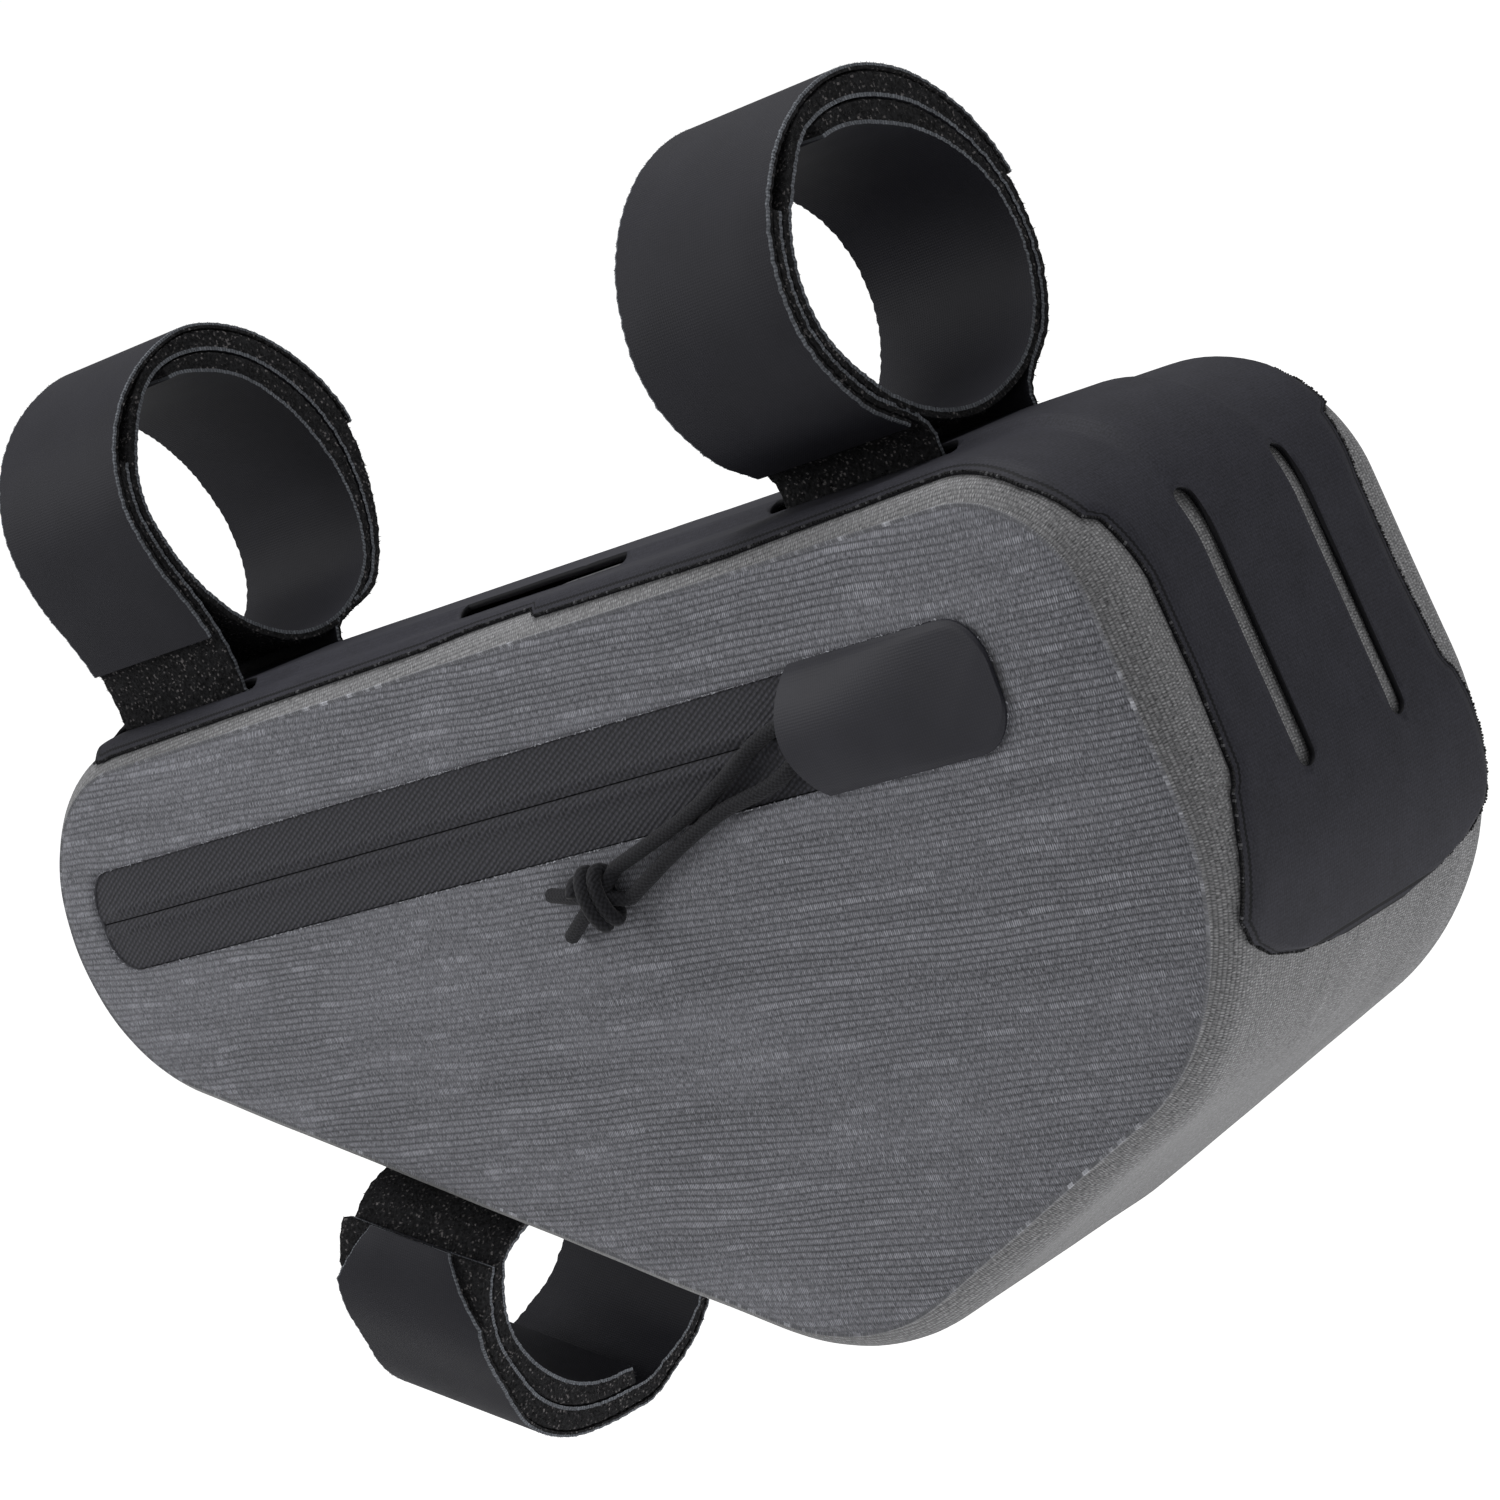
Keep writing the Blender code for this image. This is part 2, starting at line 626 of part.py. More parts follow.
def make_knot(material):
    """The overhand knot as one lump with its two short tails."""
    height = CLEARANCE + KNOT_HEIGHT / 2
    centre = Vector((KNOT_PLACE.x, side_y(KNOT_PLACE.x, KNOT_PLACE.z, height), KNOT_PLACE.z))
    shape = bmesh.new()
    bmesh.ops.create_uvsphere(shape, u_segments=12, v_segments=8, radius=0.5)
    for vert in shape.verts:
        vert.co = Vector((vert.co.x * KNOT_LENGTH, vert.co.y * KNOT_HEIGHT, vert.co.z * KNOT_WIDTH)) + centre
    knot = add_object("zip_pull_knot", finish_mesh("zip_pull_knot", shape), material)
    for index, end in enumerate(TAIL_ENDS):
        tip = Vector((end.x, side_y(end.x, end.z, CLEARANCE + CORD_DIAMETER / 2), end.z))
        run = (tip - centre).normalized()
        side = run.orthogonal().normalized() * CORD_DIAMETER / 2
        up = run.cross(side)
        root = tip - run * 2.0 * TAIL_LENGTH
        rings = []
        for place in (root, tip):
            turns = [math.radians(45.0 * k) for k in range(8)]
            rings.append([place + side * math.cos(a) + up * math.sin(a) for a in turns])
        tail = add_cutter(f"knot_tail_{index}", loft(f"knot_tail_{index}", rings))
        boolean(knot, tail, "UNION")
    return knot


def ring_value(rows, angle, column):
    """Smooth value of one column of a ring's table at any angle."""
    angle = angle % 360.0
    count = len(rows)
    after = next((k for k, row in enumerate(rows) if row.angle > angle), count)
    picks = []
    for k in range(after - 2, after + 2):
        turns, place = divmod(k, count)
        picks.append((rows[place].angle + 360.0 * turns, getattr(rows[place], column)))
    (a0, v0), (a1, v1), (a2, v2), (a3, v3) = picks
    t = (angle - a1) / (a2 - a1)
    slope_1 = (v2 - v0) / (a2 - a0) * (a2 - a1)
    slope_2 = (v3 - v1) / (a3 - a1) * (a2 - a1)
    bend = 2 * t ** 3 - 3 * t ** 2
    return ((bend + 1) * v1 + (t ** 3 - 2 * t ** 2 + t) * slope_1
            - bend * v2 + (t ** 3 - t ** 2) * slope_2)


def ring_pair(ring, angle, layer, thickness=None):
    """Inner and outer points of a layer of the ring, as (far, out) distances."""
    strap = STRAP_THICKNESS * ring_value(ring.rows, angle, "pile")
    inner = RING_RADIUS * ring_value(ring.rows, angle, "radius") + layer * (strap + CLEARANCE)
    outer = inner + (thickness or strap)
    turn = math.radians(angle)
    way = Vector((math.sin(turn), math.cos(turn)))
    centre = Vector((ring.far, ring.out)) * RING_RADIUS
    return centre + way * inner, centre + way * outer


def spiral(ring, start, end, layer_at, thickness=None):
    """Pairs of points along a turn whose layer is a function of its angle."""
    steps = max(2, round(abs(end - start) / ANGLE_STEP))
    angles = [start + (end - start) * k / steps for k in range(steps + 1)]
    return [ring_pair(ring, angle, layer_at(angle), thickness) for angle in angles]


def middle_and_heading(pairs, place):
    """Centre of a section of the strap and the direction it runs in."""
    middles = [0.5 * (inner + outer) for inner, outer in pairs]
    step = middles[1] - middles[0] if place == 0 else middles[-1] - middles[-2]
    return middles[place], step.normalized()


def flat_pairs(points, thickness_from, thickness_to):
    """Pairs on both sides of a centre line, inner to the right of its run."""
    pairs = []
    last = len(points) - 1
    for k, point in enumerate(points):
        run = (points[min(k + 1, last)] - points[max(k - 1, 0)]).normalized()
        right = Vector((run.y, -run.x))
        half = 0.5 * (thickness_from + (thickness_to - thickness_from) * k / last)
        pairs.append((point + right * half, point - right * half))
    return pairs


def bezier(start, start_way, end, end_way, pull, steps=6):
    """Smooth curve between two points with given headings."""
    a, b = start + start_way * pull, end - end_way * pull
    curve = []
    for k in range(steps + 1):
        t = k / steps
        u = 1.0 - t
        curve.append(start * u ** 3 + a * 3 * u * u * t + b * 3 * u * t * t + end * t ** 3)
    return curve


def ribbon(name, pairs, frame, width, material):
    """A strap solid: its section's pairs carried across the strap's width."""
    origin, across, far, out = frame
    rings = []
    for inner, outer in pairs:
        ring = []
        for point, side in ((inner, -0.5), (outer, -0.5), (outer, 0.5), (inner, 0.5)):
            ring.append(origin + far * point.x + out * point.y + across * (side * width))
        rings.append(ring)
    return add_object(name, loft(name, rings, 30.0), material)


def sleeve_run():
    """Centre line of the strap from above the far slot, under the panel, to above the near slot."""
    low = TOP_Z + CLEARANCE + STRAP_FLAT / 2
    bend = STRAP_BEND_RADIUS
    points = [Vector((SLOT_SPREAD, STRAP_FLAT / 2))]
    for k in range(5):
        turn = math.radians(90.0 * k / 4)
        points.append(Vector((SLOT_SPREAD - bend + bend * math.cos(turn), low + bend - bend * math.sin(turn))))
    return points + [Vector((-point.x, point.y)) for point in reversed(points)]


def top_strap_pairs(ring):
    """The strap of a top ring: a turn and a half, under the panel, and up the near side."""
    climb = ring.climbed - ring.climb
    turns = spiral(ring, ring.start, ring.leave, lambda a: smooth_step((a - ring.climb) / climb))
    tail = spiral(ring, ring.join, ring.tail_end, lambda a: 1.0)
    sleeve = sleeve_run()
    leaving, leaving_way = middle_and_heading(turns, -1)
    joining, joining_way = middle_and_heading(tail, 0)
    down, up = Vector((0.0, -1.0)), Vector((0.0, 1.0))
    pull = TOP_PULL * (leaving - sleeve[0]).length
    entry = bezier(leaving, leaving_way, sleeve[0], down, pull)
    pull = TOP_PULL * (joining - sleeve[-1]).length
    rise = bezier(sleeve[-1], up, joining, joining_way, pull)
    return (turns + flat_pairs(entry, STRAP_THICKNESS, STRAP_FLAT)[1:-1]
            + flat_pairs(sleeve, STRAP_FLAT, STRAP_FLAT)
            + flat_pairs(rise, STRAP_FLAT, STRAP_THICKNESS)[1:-1] + tail)


def make_top_strap(ring, x, strap_material, tab_material):
    """A top strap with its hook tab."""
    frame = (Vector((x, 0.0, 0.0)), Vector((1.0, 0.0, 0.0)), Vector((0.0, 1.0, 0.0)),
             Vector((0.0, 0.0, 1.0)))
    ribbon(f"{ring.name}_strap", top_strap_pairs(ring), frame, STRAP_WIDTH, strap_material)
    tab = spiral(ring, ring.tab, ring.tab_end, lambda a: 2.0, TAB_THICKNESS)
    ribbon(f"{ring.name}_tab", tab, frame, STRAP_WIDTH, tab_material)


def bottom_strap_pairs(ring):
    """The bottom strap: under its own second turn, up to the bag, along it and round again."""
    first = spiral(ring, ring.start, ring.tail_end, lambda a: 0.0)
    climb = ring.climbed - ring.climb
    second = spiral(ring, 360.0 + ring.join, ring.leave, lambda a: smooth_step((a - ring.climb) / climb))
    reach = half_width(0.0) - 2.0 * BOLSTER_RADIUS
    level = -(CLEARANCE + STRAP_THICKNESS / 2)
    near, far = Vector((-reach, level)), Vector((reach, level))
    right = Vector((1.0, 0.0))
    leaving, leaving_way = middle_and_heading(first, -1)
    joining, joining_way = middle_and_heading(second, 0)
    rise = bezier(leaving, leaving_way, near, right, BOTTOM_PULL * (near - leaving).length)
    fall = bezier(far, right, joining, joining_way, BOTTOM_PULL * (far - joining).length)
    thickness = STRAP_THICKNESS
    pairs = first + flat_pairs(rise, thickness, thickness)[1:]
    return pairs + flat_pairs(fall, thickness, thickness)[:-1] + second


def make_bottom_strap(ring, strap_material, tab_material):
    """The strap on the sloping underside, square to it, with its tongue tab."""
    _, normal = stretch_at("slope", 0.0)
    slope = edge_direction(3)
    corner_d, corner_e = corner_point(3), corner_point(4)
    place = corner_e.lerp(corner_d, BOTTOM_STRAP_SHARE)
    mirrored = ring._replace(out=-ring.out)
    frame = (Vector((place.x, 0.0, place.y)), Vector((-slope.x, 0.0, -slope.y)),
             Vector((0.0, 1.0, 0.0)), Vector((-normal.x, 0.0, -normal.y)))
    ribbon("bottom_strap", bottom_strap_pairs(mirrored), frame, STRAP_WIDTH, strap_material)
    climb = mirrored.climbed - mirrored.climb

    def tab_layer(angle):
        return 1.0 + smooth_step((angle + 360.0 - mirrored.climb) / climb)

    tab = spiral(mirrored, mirrored.tab, mirrored.tab_end, tab_layer, TAB_THICKNESS)
    ribbon("bottom_tab", tab, frame, STRAP_WIDTH, tab_material)


def clear_scene():
    """Start from an empty scene."""
    for item in list(bpy.data.objects):
        bpy.data.objects.remove(item)


def main():
    """Build every piece of the bag."""
    clear_scene()
    make_shell(make_material("melange cloth", (0.150, 0.152, 0.172), 0.85))
    make_panel(make_material("black laminate", (0.032, 0.032, 0.036), 0.55))
    make_tapes(make_material("black twill", (0.022, 0.022, 0.026), 0.80))
    make_garage(make_material("smooth black flap", (0.018, 0.018, 0.021), 0.50))
    make_slider(make_material("dark slider", (0.050, 0.050, 0.055), 0.35, 0.9))
    cord = make_material("black braid", (0.020, 0.020, 0.023), 0.75)
    make_strand("zip_pull_strand_upper", UPPER_STRAND, cord)
    make_strand("zip_pull_strand_lower", LOWER_STRAND, cord)
    make_knot(make_material("black braid knot", (0.020, 0.020, 0.023), 0.75))
    for ring, x in ((FRONT_RING, -STRAP_STATION), (REAR_RING, STRAP_STATION)):
        pile = make_material(f"{ring.name} pile strap", (0.016, 0.016, 0.018), 0.95)
        hooks = make_material(f"{ring.name} hook tab", (0.030, 0.030, 0.034), 0.60)
        make_top_strap(ring, x, pile, hooks)
    pile = make_material("bottom pile strap", (0.016, 0.016, 0.018), 0.95)
    hooks = make_material("bottom hook tab", (0.030, 0.030, 0.034), 0.60)
    make_bottom_strap(BOTTOM_RING, pile, hooks)


main()
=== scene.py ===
"""Looks of a small wedge-shaped bicycle frame bag: cloth body, black panel, zip, cord and straps.

Everything is in metres in the bag's own frame: +X runs towards the wide rear end, -Y is the side
with the zip, +Z is up, and the origin lies on the flat middle of the black top panel, midway
between the two top straps. Each class builds one sub-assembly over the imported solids.
"""

import json
import logging
import math
from collections.abc import Callable, Sequence
from dataclasses import dataclass
from enum import Enum

import bmesh
import bpy
from bmesh.types import BMesh
from bpy.types import Material, Mesh, Modifier, Node, NodeSocket, NodeTree, Object
from mathutils import Matrix, Vector, noise

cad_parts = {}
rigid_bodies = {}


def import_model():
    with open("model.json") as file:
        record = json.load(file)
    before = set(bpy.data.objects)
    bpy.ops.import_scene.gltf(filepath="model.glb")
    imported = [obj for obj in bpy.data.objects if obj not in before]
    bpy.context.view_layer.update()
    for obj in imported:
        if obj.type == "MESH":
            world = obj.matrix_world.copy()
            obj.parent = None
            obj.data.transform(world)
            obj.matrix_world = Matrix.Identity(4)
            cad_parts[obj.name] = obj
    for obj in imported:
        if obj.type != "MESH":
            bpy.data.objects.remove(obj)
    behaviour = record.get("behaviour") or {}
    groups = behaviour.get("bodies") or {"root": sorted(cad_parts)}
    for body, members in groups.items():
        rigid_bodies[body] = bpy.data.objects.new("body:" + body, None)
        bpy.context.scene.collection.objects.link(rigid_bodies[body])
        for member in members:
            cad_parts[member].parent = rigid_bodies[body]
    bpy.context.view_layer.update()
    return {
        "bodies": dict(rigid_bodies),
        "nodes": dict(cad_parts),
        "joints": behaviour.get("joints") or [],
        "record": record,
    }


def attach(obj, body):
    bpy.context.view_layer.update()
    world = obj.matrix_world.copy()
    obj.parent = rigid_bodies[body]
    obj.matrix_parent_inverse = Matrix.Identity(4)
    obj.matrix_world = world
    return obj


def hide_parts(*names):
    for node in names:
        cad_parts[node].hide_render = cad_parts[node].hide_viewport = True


LOG = logging.getLogger("frame_bag")
MM = 0.001
BODY = "root"
Rgb = tuple[float, float, float]


class Slot(Enum):
    """Material slots of the record."""

    CLOTH = "melange_cloth"
    LAMINATE = "black_laminate"
    TWILL = "zip_twill"
    FILM = "garage_film"
    ENAMEL = "slider_enamel"
    PILE = "strap_pile"
    HOOKS = "hook_tab"
    BRAID = "cord_braid"


class Graph:
    """Short calls for building a node tree, for a material or for geometry."""

    def __init__(self, tree: NodeTree) -> None:
        """Work on one tree.

        Args:
            tree: The node tree that the calls add to.
        """
        self.tree = tree

    def node(self, kind: str, **settings: object) -> Node:
        """Add a node.

        Args:
            kind: Blender's type name of the node.
            settings: Attributes to set on it.

        Returns:
            The new node.
        """
        made = self.tree.nodes.new(kind)
        for name, value in settings.items():
            setattr(made, name, value)
        return made

    def feed(self, socket: NodeSocket, value: object) -> None:
        """Set an input socket, or link it if the value is itself a socket.

        Args:
            socket: The input.
            value: A plain value or an output socket.
        """
        if isinstance(value, NodeSocket):
            self.tree.links.new(value, socket)
        else:
            socket.default_value = value

    def fed(self, kind: str, inputs: dict[object, object], **settings: object) -> Node:
        """Add a node and feed its inputs.

        Args:
            kind: Blender's type name of the node.
            inputs: A plain value or an output socket for each input's name or number.
            settings: Attributes to set on it.

        Returns:
            The new node.
        """
        made = self.node(kind, **settings)
        for key, value in inputs.items():
            self.feed(made.inputs[key], value)
        return made

    def math(self, operation: str, *values: object, clamp: bool = False) -> NodeSocket:
        """Result of a Math node, kept between 0 and 1 if clamp is set."""
        return self.fed("ShaderNodeMath", dict(enumerate(values)), operation=operation,
                        use_clamp=clamp).outputs[0]

    def times(self, one: object, two: object, clamp: bool = False) -> NodeSocket:
        """Product of two values."""
        return self.math("MULTIPLY", one, two, clamp=clamp)

    def plus(self, one: object, two: object, clamp: bool = False) -> NodeSocket:
        """Sum of two values."""
        return self.math("ADD", one, two, clamp=clamp)

    def fit(self, value: object, scale: object, shift: object, clamp: bool = False) -> NodeSocket:
        """A value times a scale, plus a shift."""
        return self.math("MULTIPLY_ADD", value, scale, shift, clamp=clamp)

    def ramp(self, value: object, low: float, high: float) -> NodeSocket:
        """Smooth rise from 0 at one value to 1 at another, which may be the lower one."""
        limits = {"Value": value, "From Min": low, "From Max": high}
        return self.fed("ShaderNodeMapRange", limits, interpolation_type="SMOOTHSTEP").outputs[0]

    def triangle(self, value: object) -> NodeSocket:
        """Wave of period 1 that is 0 at whole numbers and 1 halfway between them."""
        away = self.math("ABSOLUTE", self.fit(self.math("FRACT", value), 2.0, -1.0))
        return self.math("SUBTRACT", 1.0, away)

    def point(self, x: object, y: object, z: object = 0.0) -> NodeSocket:
        """Vector made of three numbers or sockets."""
        return self.fed("ShaderNodeCombineXYZ", {0: x, 1: y, 2: z}).outputs[0]

    def stretched(self, x: object, along: float, y: object, across: float) -> NodeSocket:
        """Vector of two values, each with its own scale."""
        return self.point(self.times(x, along), self.times(y, across))

    def parts(self, vector: NodeSocket, scale: float) -> list[NodeSocket]:
        """The three numbers of a vector, each multiplied by a scale."""
        made = self.fed("ShaderNodeSeparateXYZ", {0: vector})
        return [self.times(output, scale) for output in made.outputs]

    def place(self) -> NodeSocket:
        """Object coordinates."""
        return self.node("ShaderNodeTexCoord").outputs["Object"]

    def cloud(self, vector: object, scale: float, detail: float = 2.0) -> NodeSocket:
        """Noise between 0 and 1, with a scale and a number of octaves."""
        inputs = {"Vector": vector, "Scale": scale, "Detail": detail}
        return self.fed("ShaderNodeTexNoise", inputs).outputs[0]

    def scatter(self, vector: object) -> NodeSocket:
        """Random number between 0 and 1 for each whole cell."""
        return self.fed("ShaderNodeTexWhiteNoise", {"Vector": vector}, noise_dimensions="3D").outputs["Value"]

    def blend(self, share: object, low: object, high: object) -> NodeSocket:
        """Mix of two colours.

        Args:
            share: How much of the second colour there is.
            low: The first colour, three numbers or a socket.
            high: The second colour.

        Returns:
            The colour's socket.
        """
        made = self.fed("ShaderNodeMix", {"Factor": share}, data_type="RGBA")
        for socket, value in ((made.inputs[6], low), (made.inputs[7], high)):
            self.feed(socket, (*value, 1.0) if isinstance(value, tuple) else value)
        return made.outputs[2]


@dataclass(frozen=True)
class Finish:
    """A surface: its name and how it answers light, with a plain colour unless it is refined."""

    name: str
    colour: Rgb
    roughness: float = 0.8
    specular: float = 0.35
    sheen: float = 0.0
    metallic: float = 0.0
    relief: float = 0.1 * MM

    def build(self) -> Material:
        """Make the material.

        Returns:
            The material with its node tree.
        """
        material = bpy.data.materials.new(self.name)
        material.use_nodes = True
        graph = Graph(material.node_tree)
        shader = material.node_tree.nodes["Principled BSDF"]
        plain_values = {"Roughness": self.roughness, "Specular IOR Level": self.specular,
                        "Sheen Weight": self.sheen, "Metallic": self.metallic}
        for name, value in plain_values.items():
            shader.inputs[name].default_value = value
        colour, height = self.pattern(graph)
        graph.feed(shader.inputs["Base Color"], colour)
        if height is not None:
            bump = graph.fed("ShaderNodeBump", {"Strength": 1.0, "Distance": self.relief, "Height": height})
            graph.feed(shader.inputs["Normal"], bump.outputs[0])
        return material

    def pattern(self, graph: Graph) -> tuple[object, object]:
        """Colour and height of the surface.

        Args:
            graph: The material's tree.

        Returns:
            The colour, and the height from 0 to 1 or None.
        """
        place = graph.place()
        grain = graph.cloud(place, 900.0, 3.0)
        dark = self.tint(0.8)
        light = self.tint(1.25)
        return graph.blend(graph.ramp(grain, 0.3, 0.7), dark, light), grain

    def tint(self, factor: float) -> Rgb:
        """The colour made lighter or darker."""
        return tuple(part * factor for part in self.colour)

    def over(self, graph: Graph, layer: str) -> list[NodeSocket]:
        """Coordinates along and across a piece, in millimetres.

        Args:
            graph: The material's tree.
            layer: Name of the piece's own coordinate layer.

        Returns:
            The sockets of the two coordinates.
        """
        place = graph.node("ShaderNodeUVMap", uv_map=layer).outputs[0]
        return graph.parts(place, 1.0 / MM)[:2]


@dataclass(frozen=True)
class Melange(Finish):
    """Ribbed grey cloth, with light threads that cross the ribs in short ticks and painted shade in the
    valleys between the ribs.
    """

    dark: Rgb = (0.028, 0.029, 0.034)
    light: Rgb = (0.40, 0.405, 0.45)
    rib_pitch: float = 1.33
    tick_pitch: float = 0.48
    rib_depth_and_shade: float = 0.62
    slub_start: float = 0.57
    wander: float = 1.6
    base: float = 0.28

    def pattern(self, graph: Graph) -> tuple[object, object]:
        """Colour and height of the ribs, the ticks and the slubs, with painted shade in the rib valleys.

        Args:
            graph: The material's tree.

        Returns:
            The colour and the height.
        """
        along, across = self.over(graph, "cloth")
        waver = graph.cloud(graph.stretched(along, 0.022, across, 0.05), 1.0)
        bent = graph.fit(waver, self.wander * 2.0, across)
        ribs = graph.math("DIVIDE", bent, self.rib_pitch)
        rib = graph.math("FLOOR", ribs)
        crest = graph.triangle(ribs)
        shift = graph.scatter(graph.point(rib, 3.0, 1.0))
        ticks = graph.plus(graph.math("DIVIDE", along, self.tick_pitch), shift)
        tick = graph.math("POWER", graph.triangle(ticks), 2.0)
        speck = graph.scatter(graph.point(graph.math("FLOOR", ticks), rib, 5.0))
        cluster = graph.cloud(graph.stretched(along, 0.05, rib, 0.55), 1.0, 2.0)
        slub = graph.ramp(cluster, self.slub_start, self.slub_start + 0.10)
        slub = graph.times(slub, graph.fit(speck, 0.8, 0.2))
        broad = graph.cloud(graph.stretched(along, 0.012, across, 0.16), 1.0, 3.0)
        depth = graph.ramp(graph.cloud(graph.stretched(along, 0.016, across, 0.035), 1.0), 0.36, 0.62)
        depth = graph.times(graph.fit(depth, 0.6, 0.4), self.rib_depth_and_shade)
        fibre = graph.cloud(graph.stretched(along, 3.2, across, 1.3), 1.0, 3.0)
        thread = graph.times(tick, graph.fit(speck, 0.8, 0.1))
        body = graph.times(thread, graph.fit(crest, 0.6, 0.4))
        shade = graph.fit(body, 0.85, self.base)
        shade = graph.plus(shade, graph.times(graph.times(slub, tick), 0.8))
        shade = graph.plus(shade, graph.fit(broad, 0.30, -0.15))
        shade = graph.plus(shade, graph.fit(fibre, 1.3, -0.65))
        # painted shade: the colour darkens in the valleys between the ribs, as deep as the bump
        painted_valley_shade = graph.math("SUBTRACT", 1.0, graph.times(graph.ramp(crest, 0.55, 0.0), depth))
        shade = graph.times(shade, painted_valley_shade, clamp=True)
        height = graph.fit(body, 0.3, graph.times(crest, depth))
        return graph.blend(shade, self.dark, self.light), height


@dataclass(frozen=True)
class Seam(Finish):
    """The thin light ridge where two cloths are welded, with sparkling cut threads."""

    dark: Rgb = (0.11, 0.112, 0.122)
    light: Rgb = (0.56, 0.57, 0.62)

    def pattern(self, graph: Graph) -> tuple[object, object]:
        """Colour and height of the threads along the ridge.

        Args:
            graph: The material's tree.

        Returns:
            The colour and the height.
        """
        along, across = self.over(graph, "cloth")
        ticks = graph.math("DIVIDE", along, 0.62)
        speck = graph.scatter(graph.point(graph.math("FLOOR", ticks), 2.0, 1.0))
        patch = graph.cloud(graph.point(graph.times(along, 0.35), 3.0), 1.0, 2.0)
        bright = graph.cloud(graph.point(graph.times(along, 0.02), 7.0), 1.0, 1.0)
        shine = graph.times(graph.triangle(ticks), speck)
        line = graph.times(graph.ramp(patch, 0.48, 0.62), graph.ramp(bright, 0.4, 0.62))
        shade = graph.times(line, graph.fit(shine, 0.6, 0.5))
        shade = graph.fit(shine, 0.3, shade, clamp=True)
        return graph.blend(shade, self.dark, self.light), shine


@dataclass(frozen=True)
class Laminate(Finish):
    """Black rubberised laminate with a fine woven grain, a dark weld line near its edge and a painted shadow
    of the gap under the edge.
    """

    weld_and_gap_shadow_colour: Rgb = (0.006, 0.006, 0.008)
    painted_gap_shadow_line: float = 0.25
    second_weld: float = 1.55
    weld_and_gap_line_width: float = 0.36
    tooth_pitch: float = 0.95

    def pattern(self, graph: Graph) -> tuple[object, object]:
        """Colour and height of the grain, the weld line and the painted shadow along the edge.

        Args:
            graph: The material's tree.

        Returns:
            The colour and the height.
        """
        along, inward = self.over(graph, "weld")
        run, across = self.over(graph, "cloth")
        place = graph.place()
        mottle = graph.cloud(place, 130.0, 4.0)
        weave = graph.times(graph.triangle(graph.math("DIVIDE", run, 0.62)),
                            graph.triangle(graph.math("DIVIDE", across, 0.62)))
        grain = graph.cloud(place, 2200.0, 2.0)
        shade = graph.fit(mottle, 0.35, -0.25)
        shade = graph.fit(grain, 0.9, shade)
        shade = graph.fit(weave, 0.3, shade, clamp=True)
        dark = self.tint(0.4)
        light = self.tint(2.0)
        face = graph.blend(shade, dark, light)
        tooth = graph.times(graph.triangle(graph.math("DIVIDE", along, self.tooth_pitch)), 0.24)
        reach = graph.plus(inward, tooth)
        # the first dark line and the darkening at the very edge are painted shadow of the gap under the
        # panel's edge; the second line is the weld
        lines = []
        for middle in (self.painted_gap_shadow_line, self.second_weld):
            away = graph.math("ABSOLUTE", graph.math("SUBTRACT", reach, middle))
            lines.append(graph.ramp(away, self.weld_and_gap_line_width, 0.4 * self.weld_and_gap_line_width))
        line = graph.math("MAXIMUM", *lines)
        # painted shadow at the very edge
        outer = graph.ramp(inward, 0.25, 0.0)
        line = graph.math("MAXIMUM", line, outer)
        height = graph.fit(line, -0.8, graph.fit(weave, 0.10, 0.8))
        height = graph.fit(grain, 0.10, height)
        return graph.blend(line, face, self.weld_and_gap_shadow_colour), height


@dataclass(frozen=True)
class Twill(Finish):
    """Coated twill whose fine ribs rise across the zip."""

    pitch: float = 1.0
    lean: float = math.radians(27.3)

    def pattern(self, graph: Graph) -> tuple[object, object]:
        """Colour and height of the diagonal ribs.

        Args:
            graph: The material's tree.

        Returns:
            The colour and the height.
        """
        along, across = self.over(graph, "cloth")
        turned = graph.math("SUBTRACT", graph.times(across, math.cos(self.lean)),
                            graph.times(along, math.sin(self.lean)))
        run = graph.plus(graph.times(along, math.cos(self.lean)),
                         graph.times(across, math.sin(self.lean)))
        waver = graph.cloud(graph.point(graph.times(run, 0.5), turned), 0.6)
        ribs = graph.math("DIVIDE", graph.fit(waver, 0.5, turned), self.pitch)
        crest = graph.triangle(ribs)
        knots = graph.triangle(graph.plus(graph.math("DIVIDE", run, 1.25),
                                          graph.times(graph.math("FLOOR", ribs), 0.37)))
        speck = graph.cloud(graph.point(graph.times(run, 1.4), turned), 1.3, 3.0)
        shade = graph.times(crest, graph.fit(knots, 0.75, 0.2))
        shade = graph.plus(shade, graph.fit(speck, 0.9, -0.45), clamp=True)
        height = graph.times(crest, graph.fit(knots, 0.3, 0.7))
        return graph.blend(shade, self.tint(0.45), self.tint(2.6)), height


@dataclass(frozen=True)
class Webbing(Finish):
    """Smooth coated face of a strap or a tab, with faint lines and small pale flecks."""

    line_pitch: float = 0.55

    def pattern(self, graph: Graph) -> tuple[object, object]:
        """Colour and height of the faint lines and the flecks.

        Args:
            graph: The material's tree.

        Returns:
            The colour and the height.
        """
        along, across = self.over(graph, "cloth")
        lines = graph.triangle(graph.math("DIVIDE", along, self.line_pitch))
        weave = graph.times(lines, graph.triangle(graph.math("DIVIDE", across, self.line_pitch)))
        cloud = graph.cloud(graph.point(along, across), 0.09, 3.0)
        grain = graph.cloud(graph.point(along, across), 3.0, 2.0)
        shade = graph.fit(cloud, 0.55, -0.1)
        shade = graph.fit(grain, 0.5, shade)
        shade = graph.fit(weave, 0.25, shade, clamp=True)
        return graph.blend(shade, self.tint(0.7), self.tint(1.45)), graph.fit(grain, 0.5, weave)


